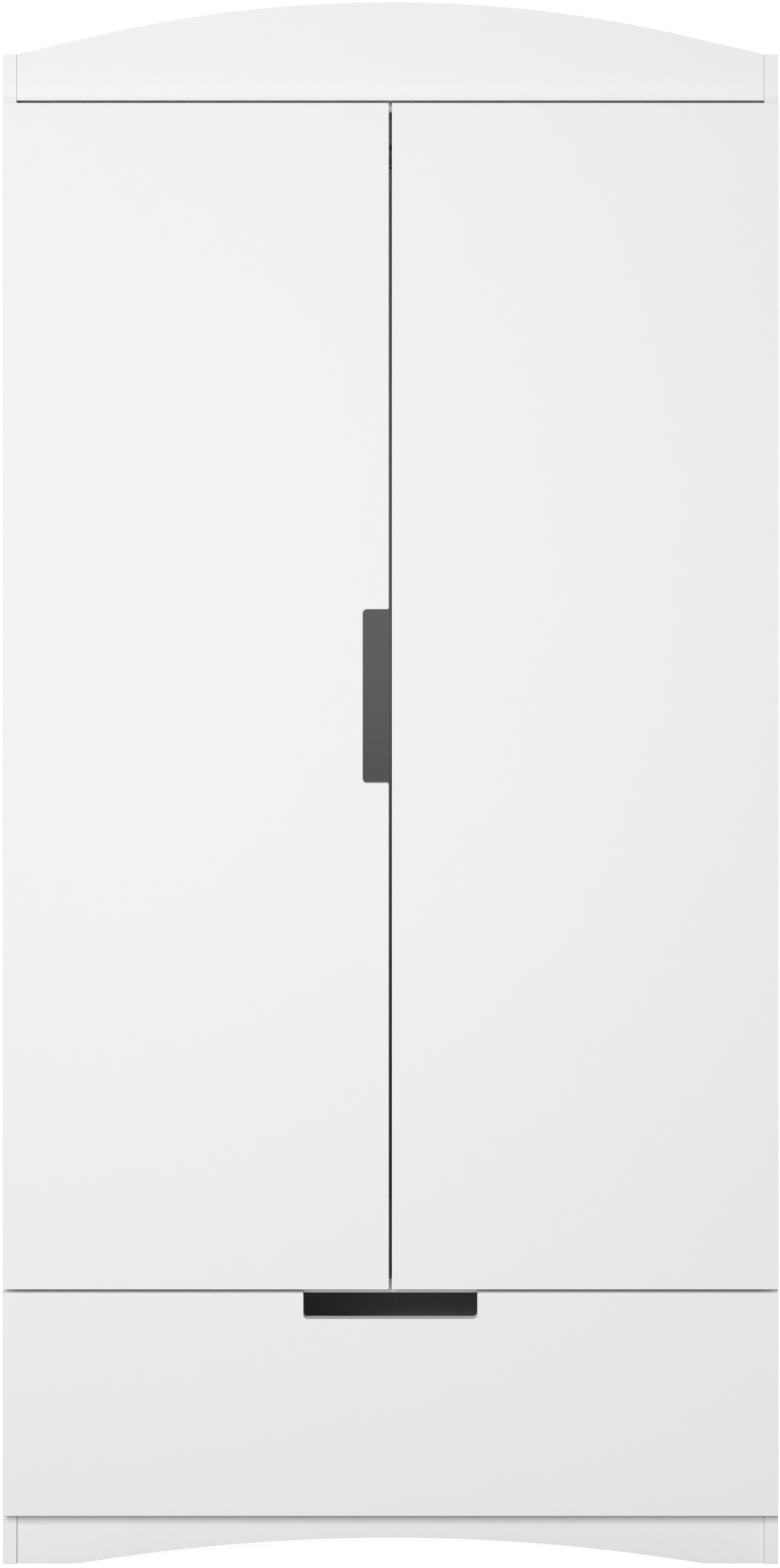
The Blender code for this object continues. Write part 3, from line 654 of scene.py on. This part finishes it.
def hinge_plate(hand, at):
    """A cross-shaped mounting plate: a long bar with two lower screw wings, all its corners soft."""
    outline = cross_outline((21 * MM, 8 * MM, 9), (7 * MM, 25 * MM, 9), 96)
    tall, wing_drop = 4.0 * MM, 1.4 * MM

    def top(points):
        return tall - wing_drop * smooth((np.abs(points[:, 1]) - 8.2 * MM) / (1.6 * MM))

    levels = [
        (outline, 0), (outline, top(outline) - 0.7 * MM),
        (drawn_in(outline, 0.2 * MM), top(outline) - 0.2 * MM),
    ]
    for share in (0.7 / 21, 0.12, 0.25, 0.4, 0.55, 0.7, 0.85, 0.97):
        inner = outline * (1 - share)
        levels.append((inner, top(inner)))
    places = [(0, v * 17.5 * MM, tall - wing_drop) for v in (-1, 1)]
    heads = screws(places, X, Y, Z, wide=1.15, proud=1.3)
    return seated(joined([stack(levels), heads]), at, Y, Z, -hand * X)


def hinge_arm(hand, at):
    """A pressed arm that steps in to a round knuckle, with a long groove and two adjusting screws.

    The section is a rounded rectangle carried from the tip to the rear. The line steps sideways by a smooth
    curve, both ends close as quarter circles, and the inner face sinks where the groove runs.
    """
    length, tip = 60 * MM, -10 * MM
    y = np.concatenate([
        tip + 3.4 * MM * (1 - np.cos(np.linspace(0.12, 1, 7) * np.pi / 2)),
        np.linspace(-5.5 * MM, 9 * MM, 12), np.linspace(11 * MM, 55 * MM, 45),
        length - 4.5 * MM * (1 - np.sin(np.linspace(0.15, 0.98, 7) * np.pi / 2)),
    ])
    step = smooth(y / (8 * MM))
    x = 11.0 * MM - 2.4 * MM * step
    half_thick = 3.4 * MM + 0.55 * MM * step
    half_thick *= np.sqrt(np.clip(1 - ((tip + 3.4 * MM - y) / (3.5 * MM)).clip(0) ** 2, 0.02, 1))
    from_rear = ((y - length + 4.5 * MM) / (4.6 * MM)).clip(0)
    half_high = 6.4 * MM * (0.35 + 0.65 * np.sqrt(np.clip(1 - from_rear**2, 0.0, 1)))
    unit = even(rounded(1, 1, 0.38, 48), 64)
    profile = unit[None] * np.stack([half_high, half_thick], 1)[:, None]
    groove = smooth((y - 14 * MM) / (2 * MM)) * smooth((53 * MM - y) / (2 * MM))
    inside = smooth((3.1 * MM - np.abs(profile[..., 0])) / (0.7 * MM)) * (profile[..., 1] > 0)
    profile[..., 1] -= 1.6 * MM * groove[:, None] * inside
    path = np.stack([x, y, np.zeros_like(y)], 1)
    body = swept(profile, path, Z)
    heads = screws([(11.0 * MM, back * MM, 0) for back in (23, 44)], Y, Z, X, wide=0.75, proud=1.6)
    knuckle = seated(rod(2.1 * MM, -7.3 * MM, 7.3 * MM, 0.4 * MM), (11 * MM, -6.6 * MM, 0), X, Y, Z)
    return seated(joined([body, heads, knuckle]), at, -hand * X, Y, Z)


class WARDROBE_OT_hinges(bpy.types.Operator):
    """Makes the six hinges: the cups on the doors, the plates and the arms on the sides"""

    bl_idname = "wardrobe.hinges"
    bl_label = "Make Hinges"

    def execute(self, context):
        for side, hand in HANDS.items():
            for level in LEVELS:
                label = f"{side}_{level}"
                cup, plate, arm = (f"hinge_{piece}_{label}" for piece in ("cup", "plate", "arm"))
                at = middle(cup)
                at[1] = high(f"{side}_door")[1]
                fitting(f"cup_{label}", f"door_{side}", "nickelled_steel", hinge_cup(hand, at), cup)
                at = middle(plate)
                at[0] = face_x(plate, hand)
                fitting(f"plate_{label}", "carcass", "nickelled_steel", hinge_plate(hand, at), plate)
                at[:2] = hand * INNER_HALF, CARCASS_FRONT_Y
                fitting(f"arm_{label}", "carcass", "nickelled_steel", hinge_arm(hand, at), arm)
        return {"FINISHED"}


# Rail


def rail_tube():
    """An oval tube: its outline, two half circles joined by straight lines, carried from end to end."""
    half_x, half_y, half_z = span("hanging_rail") / 2
    outline = rounded(half_y, half_z, half_y, 64)
    ease = 0.4 * MM
    end = drawn_in(outline, ease)
    levels = [(end, -half_x), (outline, ease - half_x), (outline, half_x - ease), (end, half_x)]
    return seated(stack(levels), middle("hanging_rail"), Y, Z, X)


def rail_socket(node, hand):
    """A moulded socket, an oval flange and a collar with a round lip round the rail's hole, and its screws.

    All three ovals are two half circles joined by the same straight length.
    """
    reach, flange_y, flange_z = span(node)
    straight = (flange_z - flange_y) / 2
    flange, collar, bore = (
        rounded(half, half + straight, half, 64)
        for half in (flange_y / 2, flange_y / 2 - 8 * MM, flange_y / 2 - 10.5 * MM)
    )
    base = 2 * MM
    levels = [
        (flange, 0), (flange, base - 0.9 * MM), (drawn_in(flange, 0.3 * MM), base - 0.3 * MM),
        (drawn_in(flange, 1.0 * MM), base), (drawn_in(collar, -0.9 * MM), base),
        (drawn_in(collar, -0.2 * MM), base + 0.6 * MM), (collar, base + 1.6 * MM),
        (collar, reach - 0.9 * MM), (drawn_in(collar, 0.3 * MM), reach - 0.25 * MM),
        (drawn_in(collar, 1.1 * MM), reach), (drawn_in(bore, -0.7 * MM), reach - 0.1 * MM),
        (bore, reach - 0.8 * MM), (bore, base + 0.01 * MM),
    ]
    screw_at = flange_z / 2 - 4.2 * MM
    heads = screws([(0, v * screw_at, base) for v in (-1, 1)], X, Y, Z, wide=0.9)
    at = middle(node)
    at[0] = face_x(node, hand)
    return [seated(shell, at, Y, Z, -hand * X) for shell in (stack(levels), heads)]


class WARDROBE_OT_rail(bpy.types.Operator):
    """Makes the hanging rail and the socket at each of its ends"""

    bl_idname = "wardrobe.rail"
    bl_label = "Make Hanging Rail"

    def execute(self, context):
        fitting("rail_tube", "carcass", "chromed_tube", rail_tube(), "hanging_rail")
        for side, hand in HANDS.items():
            socket, heads = rail_socket(f"rail_socket_{side}", hand)
            fitting(f"rail_end_{side}", "carcass", "white_plastic", socket, f"rail_socket_{side}")
            fitting(f"rail_end_screws_{side}", "carcass", "nickelled_steel", heads)
        return {"FINISHED"}


# Drawer slides


def rivet(length, shank, head, head_height, count=24):
    """A pin that ends in a flat domed head."""
    return lathe(
        [(shank, 0), (shank, length), (head, length), (head, length + 0.4 * head_height),
         (0.7 * head, length + 0.85 * head_height), (0.2 * head, length + head_height)],
        count,
    )


def slide_section(width, high_flange, tall):
    """The C section of the cabinet's channel: bottom flange, web, and a top flange of its own reach."""
    steel, bend = 1.2 * MM, 1.2 * MM
    straight = tall - steel - 2 * bend
    lengths = (width - steel / 2 - bend, straight, high_flange - steel / 2 - bend)
    outline = folded(lengths, (-math.pi / 2, -math.pi / 2), bend, steel)
    # The line starts at the bottom flange's edge and runs towards the web, so it is turned end for end.
    return np.stack([width - outline[:, 0], steel / 2 - outline[:, 1]], 1)


def cabinet_slide(side, hand):
    """The channel on the cabinet's side, its top flange cut back to clear the front roller, and its pins."""
    node, roller = f"cabinet_slide_{side}", f"front_roller_{side}"
    first, length = low(node), span(node)[1]
    wall, out = face_x(node, hand), -hand * X
    width, tall, steel = 9 * MM, 22.6 * MM, 1.2 * MM
    full, cut = (slide_section(width, flange, tall) for flange in (width, 2 * MM))
    notch, slope = 28 * MM, 0.6 * MM
    ys = np.array([0, notch - slope, notch + slope, length])
    channel = along_y(np.array([cut, cut, full, full]) * (-hand, 1), ys, (wall, first[1], first[2]))
    face, z = wall - hand * steel, first[2] + tall / 2
    places = [(face, first[1] + at * MM, z) for at in (52, 224, 400)]
    heads = screws(places, Y, Z, out, wide=0.95, proud=5 / 9)
    reach = abs(wall) - abs(face_x(roller, hand, min))
    axle = seated(
        rivet(reach, 2.2 * MM, 3.6 * MM, 0.9 * MM), (wall - hand * 0.4 * MM, *middle(roller)[1:]), Y, Z, out
    )
    return channel, joined([heads, axle])


def drawer_slide(side, hand):
    """The angle on the drawer's side, a web with a top flange that runs on the front roller, and its pins."""
    node, roller = f"drawer_slide_{side}", f"rear_roller_{side}"
    first, (length, tall) = low(node), span(node)[1:]
    inner, out = face_x(node, hand, min), hand * X
    flange, steel, bend = 10 * MM, 1.2 * MM, 1.0 * MM
    outline = folded((tall - steel / 2 - bend, flange - steel / 2 - bend), (-math.pi / 2,), bend, steel)
    # The line starts upright: its first axis is the height, and its second, turned round, the reach.
    section = np.stack([steel / 2 - outline[:, 1], outline[:, 0]], 1) * (hand, 1)
    angle = along_y(np.array([section, section]), np.array([0, length]), (inner, first[1], first[2]))
    web, z = inner + hand * steel, first[2] + 0.45 * tall
    places = [(web, first[1] + at * MM, z) for at in (45, 200, 345)]
    heads = screws(places, Y, Z, out, wide=0.95, proud=6 / 9)
    reach = abs(face_x(roller, hand)) - abs(web) + 0.6 * MM
    axle = seated(
        rod(2.2 * MM, 0, reach, 0.3 * MM), (web - hand * 0.3 * MM, *middle(roller)[1:]), Y, Z, out
    )
    return angle, joined([heads, axle])


def roller_wheel(node):
    """A nylon roller: its half section goes round a ring, and ribs stand between the hollows of its faces.

    The hollows' depth is 0.9 mm times how far the angle is from the nearest rib, smoothed.
    """
    count, deep = 96, 0.9 * MM
    width, radius, bore = span(node)[0], span(node)[2] / 2, 2.6 * MM
    half = [
        (bore, 0, 0), (bore + 2.0 * MM, 0, 0), (bore + 2.5 * MM, 0, 1), (radius - 2.4 * MM, 0, 1),
        (radius - 1.9 * MM, 0, 0), (radius - 0.8 * MM, 0, 0), (radius - 0.25 * MM, 0.25 * MM, 0),
        (radius, 0.9 * MM, 0), (radius, width / 2, 0),
    ]
    profile = np.array(half + [(r, width - x, -hollow) for r, x, hollow in half[-2::-1]])
    angle = turn(count)
    between = smooth(1.4 * (1 - np.abs(np.cos(angle * fittings().spokes / 2)) ** 6))
    along = profile[:, 1:2] + profile[:, 2:3] * deep * between
    rings = np.stack([along, profile[:, :1] * np.cos(angle), profile[:, :1] * np.sin(angle)], -1)
    shell = skin(rings, loop=True)
    at = middle(node)
    at[0] = low(node)[0]
    return seated(shell, at, X, Y, Z)


class WARDROBE_OT_slides(bpy.types.Operator):
    """Makes the drawer's slides, their screws and pins, and the four rollers"""

    bl_idname = "wardrobe.slides"
    bl_label = "Make Drawer Slides"

    def execute(self, context):
        slides = (("cabinet", "carcass", cabinet_slide), ("drawer", "drawer", drawer_slide))
        for side, hand in HANDS.items():
            for label, body, shape in slides:
                bent, pins = shape(side, hand)
                fitting(f"{label}_runner_{side}", body, "coated_steel", bent, f"{label}_slide_{side}")
                fitting(f"{label}_runner_pins_{side}", body, "nickelled_steel", pins)
            for end in ENDS:
                node = f"{end}_roller_{side}"
                fitting(f"{end}_wheel_{side}", node, "white_plastic", roller_wheel(node), node)
        return {"FINISHED"}


# Brackets


def bracket(node, facing, flat_leg, slot_at):
    """A bent steel angle with round corners, its flat leg on the top panel and its other leg upright.

    The section, a thin rounded rectangle, is carried along a line that turns a quarter. Its half width
    shrinks at both ends as a corner's circle, and the face sinks where the slot is.
    """
    half_wide, up_leg = span(node)[0] / 2, span(node)[2]
    thick, bend, corner = 2 * MM, 2 * MM, 5 * MM
    straight = [leg - thick / 2 - bend for leg in (flat_leg, up_leg)]
    whole = straight[0] + bend * math.pi / 2 + straight[1]
    round_end = corner * (1 - np.cos(np.linspace(0.1, 1, 7) * np.pi / 2))
    along = np.concatenate([round_end, np.linspace(6 * MM, whole - 6 * MM, 72), whole - round_end[::-1]])
    heading = np.clip((along - straight[0]) / bend, 0, math.pi / 2)
    gaps = np.diff(along)
    mean = (heading[1:] + heading[:-1]) / 2
    run = np.concatenate([[0], np.cumsum(np.cos(mean) * gaps)]) + along[0]
    rise = np.concatenate([[0], np.cumsum(np.sin(mean) * gaps)])
    from_end = np.minimum(along, whole - along)
    narrow = corner * (1 - np.sqrt(np.clip(1 - (1 - from_end / corner).clip(0) ** 2, 0, 1)))
    unit = even(rounded(half_wide, thick / 2, 0.45 * MM, 32), 120)
    profile = np.broadcast_to(unit, (len(along), *unit.shape)).copy()
    profile[..., 0] *= ((half_wide - narrow) / half_wide)[:, None]
    if slot_at:
        slot_half_wide, slot_half_long, slot_deep = 2.9 * MM, 5 * MM, 1.7 * MM
        inside = smooth((slot_half_wide - np.abs(profile[..., 0])) / (0.6 * MM))
        inside *= smooth((slot_half_long - np.abs(whole - along - slot_at))[:, None] / (0.8 * MM))
        inside *= profile[..., 1] * facing > 0
        profile[..., 1] -= facing * slot_deep * inside
    y = (high if facing > 0 else low)(node)[1] - facing * (flat_leg - run)
    path = np.stack([np.full_like(y, middle(node)[0]), y, low(node)[2] + thick / 2 + rise], 1)
    return swept(profile, path, X)


class WARDROBE_OT_brackets(bpy.types.Operator):
    """Makes the angles that hold the crown, and those that hold the wardrobe to a wall"""

    bl_idname = "wardrobe.brackets"
    bl_label = "Make Brackets"

    def execute(self, context):
        # Each kind's name, the way its upright leg faces, its flat leg, the place of its slot, and its screws
        kinds = (("crown", -1, 30 * MM, None, (20,)), ("wall", 1, 45 * MM, 13 * MM, (16, 34)))
        for side in HANDS:
            for label, facing, leg, slot_at, places in kinds:
                node = f"{label}_bracket_{side}"
                y = (high if facing > 0 else low)(node)[1]
                z = low(node)[2]
                pair = [middle(node)[0] + u * 6 * MM for u in (-1, 1)]
                flat = [(x, y - facing * at * MM, z + 2 * MM) for x in pair for at in places]
                shells = [bracket(node, facing, leg, slot_at), screws(flat, X, Y, Z)]
                if label == "crown":
                    shells.append(screws([(x, y + 2 * MM, z + 20 * MM) for x in pair], X, -Z, Y))
                fitting(f"{label}_angle_{side}", "carcass", "nickelled_steel", joined(shells), node)
        return {"FINISHED"}


# Feet, pads and fixings


class WARDROBE_OT_pads(bpy.types.Operator):
    """Makes the floor glides and the soft pads behind the doors"""

    bl_idname = "wardrobe.pads"
    bl_label = "Make Glides and Pads"

    def execute(self, context):
        for side in HANDS:
            for end in ENDS:
                node = f"floor_glide_{end}_{side}"
                radius, tall = span(node)[0] / 2, span(node)[2]
                profile = [
                    (0.90 * radius, 0), (0.97 * radius, 0.15 * tall), (radius, 0.45 * tall),
                    (radius, 0.8 * tall), (0.97 * radius, tall), (0.1 * radius, tall),
                ]
                shell = seated(lathe(profile, 48), middle(node) * (1, 1, 0), X, Y, Z)
                fitting(f"glide_{end}_{side}", "carcass", "white_plastic", shell, node)
            node = f"door_bumper_{side}"
            radius, tall = span(node)[0] / 2, span(node)[1]
            angle = np.linspace(0, 0.95, 8) * np.pi / 2
            profile = np.stack([radius * np.cos(angle) ** 0.7, tall * (0.25 + 0.75 * np.sin(angle))], 1)
            profile = np.vstack([[(radius, 0)], profile])
            at = (middle(node)[0], low(node)[1], middle(node)[2])
            shell = seated(lathe(profile, 40), at, X, -Z, Y)
            fitting(f"pad_{side}", f"door_{side}", "soft_pad", shell, node)
        return {"FINISHED"}


def cam_places():
    """Where cam locks sit on the carcass: lists of places for each way that they face."""
    x = INNER_HALF - 34 * MM
    ys = (CARCASS_FRONT_Y + 75 * MM, high("top_panel")[1] - 60 * MM)
    shelf, base, top = low("fixed_shelf")[2], low("base_panel")[2], high("top_panel")[2]
    rail, plinth = low("rear_rail"), middle("rear_plinth")
    up = [(s * x, y, top) for s in (-1, 1) for y in ys]
    down = [(s * x, y, z) for s in (-1, 1) for y in ys for z in (shelf, base)]
    forward = [(s * x, rail[1], middle("rear_rail")[2]) for s in (-1, 1)]
    backward = [(s * x, high("rear_plinth")[1], plinth[2]) for s in (-1, 1)]
    return ((up, Z), (down, -Z), (forward, -Y), (backward, Y))


def facing_axes(out):
    """Two directions square to an outward one."""
    across = X if abs(out[0]) < 0.5 else Y
    return across, np.cross(out, across), out


def nail_places():
    """Even rows of nails across the back, into the boards that stand behind it."""
    half = INNER_HALF - 20 * MM
    count = int(half * 2 / fittings().nail_spacing)
    row = (np.arange(count) + 0.5) / count * 2 * half - half
    row = row[np.abs(row) > high("back_joining_strip")[0] + 4 * MM]
    levels = [middle(node)[2] for node in ("top_panel", "rear_rail", "fixed_shelf", "base_panel")]
    return [(x, BACK_Y, z) for z in levels for x in row]


class WARDROBE_OT_fixings(bpy.types.Operator):
    """Adds the cam locks, screws and nails that hold the boards together"""

    bl_idname = "wardrobe.fixings"
    bl_label = "Add Fixings"

    def execute(self, context):
        size = fittings()
        cam = screw_head(size.cam, 0.5 * MM, slot=0.62)
        cams = [repeated(cam, places, *facing_axes(out)) for places, out in cam_places()]
        fitting("carcass_cams", "carcass", "nickelled_steel", joined(cams))
        nails = repeated(nail_head(size.nail), nail_places(), *facing_axes(Y))
        fitting("back_nails", "carcass", "nickelled_steel", nails)
        shells = []
        for side, hand in HANDS.items():
            node = f"drawer_side_{side}"
            heights = [low(node)[2] + share * span(node)[2] for share in (0.35, 0.8)]
            near = [(face_x(node, hand, min), low(node)[1] + 34 * MM, z) for z in heights]
            far = [(face_x(node, hand), middle("drawer_back")[1], z) for z in heights]
            shells.append(repeated(cam, near, *facing_axes(-hand * X)))
            shells.append(screws(far, *facing_axes(hand * X), proud=4 / 9))
        fitting("drawer_fixings", "drawer", "nickelled_steel", joined(shells))
        return {"FINISHED"}


class WARDROBE_OT_boards(bpy.types.Operator):
    """Gives every board its finish, and eases the edges of the lacquered, melamine and plastic ones"""

    bl_idname = "wardrobe.boards"
    bl_label = "Finish Boards"

    def execute(self, context):
        for slot, names in BOARD_NODES.items():
            for name in names:
                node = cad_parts[name]
                node.data.materials.clear()
                node.data.materials.append(finish(slot))
                if slot in ("white_lacquer", "white_melamine"):
                    ease_edges(node, finishes().eased_edge)
                elif slot == "white_plastic":
                    ease_edges(node, 0.3 * MM)
        return {"FINISHED"}


class WARDROBE_OT_stage(bpy.types.Operator):
    """Makes the floor, the light and the camera"""

    bl_idname = "wardrobe.stage"
    bl_label = "Set the Stage"

    def execute(self, context):
        add_floor()
        add_world()
        add_lights()
        add_camera()
        return {"FINISHED"}


def add_floor():
    """A large pale floor. Its own glow is stronger to the eye than as light on the boards."""
    made, tree, shader = new_material("pale_floor")
    shader.inputs["Base Color"].default_value = (0.34, 0.34, 0.34, 1)
    shader.inputs["Roughness"].default_value = 0.8
    shader.inputs["Specular IOR Level"].default_value = 0.1
    shader.inputs["Emission Color"].default_value = (1, 1, 1, 1)
    path = tree.nodes.new("ShaderNodeLightPath")
    glow = tree.nodes.new("ShaderNodeMapRange")
    glow.inputs["To Min"].default_value = studio().floor_light
    glow.inputs["To Max"].default_value = studio().floor_glow
    tree.links.new(path.outputs["Is Camera Ray"], glow.inputs["Value"])
    tree.links.new(glow.outputs["Result"], shader.inputs["Emission Strength"])
    half = 12.0
    points = half * np.array([(-1, -1, 0), (1, -1, 0), (1, 1, 0), (-1, 1, 0)])
    mesh_object("studio_floor", (points, np.arange(4), np.array([4])), made)


def add_world():
    """Even light all round. The lens sees white, and polished parts mirror a room that darkens lower down."""
    look = studio()
    world = bpy.data.worlds.new("studio")
    bpy.context.scene.world = world
    world.use_nodes = True
    tree = world.node_tree
    tree.nodes.clear()
    out = tree.nodes.new("ShaderNodeOutputWorld")
    path = tree.nodes.new("ShaderNodeLightPath")
    split = tree.nodes.new("ShaderNodeSeparateXYZ")
    tree.links.new(tree.nodes.new("ShaderNodeTexCoord").outputs["Generated"], split.inputs[0])
    height = tree.nodes.new("ShaderNodeMapRange")
    height.interpolation_type = "SMOOTHSTEP"
    mirrored = {"From Min": -0.1, "From Max": 0.75, "To Min": look.mirrored, "To Max": look.white}
    for label, value in mirrored.items():
        height.inputs[label].default_value = value
    tree.links.new(split.outputs["Z"], height.inputs["Value"])
    lights = []
    for strength in (look.world, look.white, height.outputs["Result"]):
        node = tree.nodes.new("ShaderNodeBackground")
        node.inputs["Color"].default_value = (1, 1, 1, 1)
        if isinstance(strength, bpy.types.NodeSocket):
            tree.links.new(strength, node.inputs["Strength"])
        else:
            node.inputs["Strength"].default_value = strength
        lights.append(node.outputs[0])
    for ray, light in (("Is Glossy Ray", lights[2]), ("Is Camera Ray", lights[1])):
        mix = tree.nodes.new("ShaderNodeMixShader")
        tree.links.new(path.outputs[ray], mix.inputs[0])
        tree.links.new(lights[0], mix.inputs[1])
        tree.links.new(light, mix.inputs[2])
        lights[0] = mix.outputs[0]
    tree.links.new(lights[0], out.inputs[0])


def add_area(name, place, target, size, power):
    """A soft rectangular light that faces its target and that the lens doesn't see."""
    data = bpy.data.lights.new(name, "AREA")
    data.shape = "RECTANGLE"
    data.size, data.size_y = size
    data.energy = power
    made = bpy.data.objects.new(name, data)
    bpy.context.scene.collection.objects.link(made)
    made.location = place
    direction = made.location.copy()
    direction[:] = [b - a for a, b in zip(place, target)]
    made.rotation_mode = "QUATERNION"
    made.rotation_quaternion = direction.to_track_quat("-Z", "Y")
    made.visible_camera = False
    return made


def add_lights():
    """The key and the fill light the front. The others stand behind its plane, or shine into the wardrobe."""
    look = studio()
    # Each light's name, place, target, size and power
    lights = [
        ("key_light", (-3.0, -10.3, 5.3), (0, 0, 1.0), (4.2, 4.2), look.key),
        ("fill_light", (-0.22, -2.4, 1.0), (-0.1, 0, 1.0), (1.4, 1.4), look.fill),
        ("back_light", (1.0, 6.0, 3.2), (0, 0, 1.0), (3.0, 3.0), look.back),
        ("inside_light", (0, -0.1, 1.36), (0, 0.26, 1.36), (0.7, 0.95), look.inside),
    ]
    for side, hand in HANDS.items():
        lights.append((f"{side}_light", (hand * 4.2, 1.9, 2.6), (0, 0.1, 1.0), (3.0, 3.0), look.sides))
    for light in lights:
        add_area(*light).visible_glossy = False


def add_camera():
    """Level and square to the front; the lens shift alone brings the wardrobe into the middle."""
    look = studio()
    data = bpy.data.cameras.new("front_camera")
    data.sensor_width = 36.0
    data.lens = data.sensor_width * look.distance / look.frame_height
    data.shift_y = look.shift
    made = bpy.data.objects.new("front_camera", data)
    bpy.context.scene.collection.objects.link(made)
    made.location = (look.sideways, CARCASS_FRONT_Y - look.distance, look.height)
    made.rotation_euler = (math.pi / 2, 0, 0)
    bpy.context.scene.camera = made


class WARDROBE_PT_panel(bpy.types.Panel):
    """Lists the steps that finish the wardrobe"""

    bl_idname = "WARDROBE_PT_panel"
    bl_label = "Wardrobe"
    bl_space_type = "VIEW_3D"
    bl_region_type = "UI"
    bl_category = "Wardrobe"

    def draw(self, context):
        for operator in OPERATORS:
            self.layout.operator(operator.bl_idname)


OPERATORS = (
    WARDROBE_OT_boards, WARDROBE_OT_hinges, WARDROBE_OT_rail, WARDROBE_OT_slides,
    WARDROBE_OT_brackets, WARDROBE_OT_pads, WARDROBE_OT_fixings, WARDROBE_OT_stage,
)
SETTINGS = {
    "wardrobe_finish": FinishSettings,
    "wardrobe_fittings": FittingSettings,
    "wardrobe_studio": StudioSettings,
}
CLASSES = (*SETTINGS.values(), *OPERATORS, WARDROBE_PT_panel)


def register():
    for item in CLASSES:
        bpy.utils.register_class(item)
    for name, group in SETTINGS.items():
        setattr(bpy.types.Scene, name, bpy.props.PointerProperty(type=group))


def unregister():
    for name in SETTINGS:
        delattr(bpy.types.Scene, name)
    for item in reversed(CLASSES):
        bpy.utils.unregister_class(item)


def main():
    register()
    bpy.context.scene.view_settings.view_transform = "Standard"
    for operator in OPERATORS:
        group, name = operator.bl_idname.split(".")
        getattr(getattr(bpy.ops, group), name)()


if __name__ == "__main__":
    main()
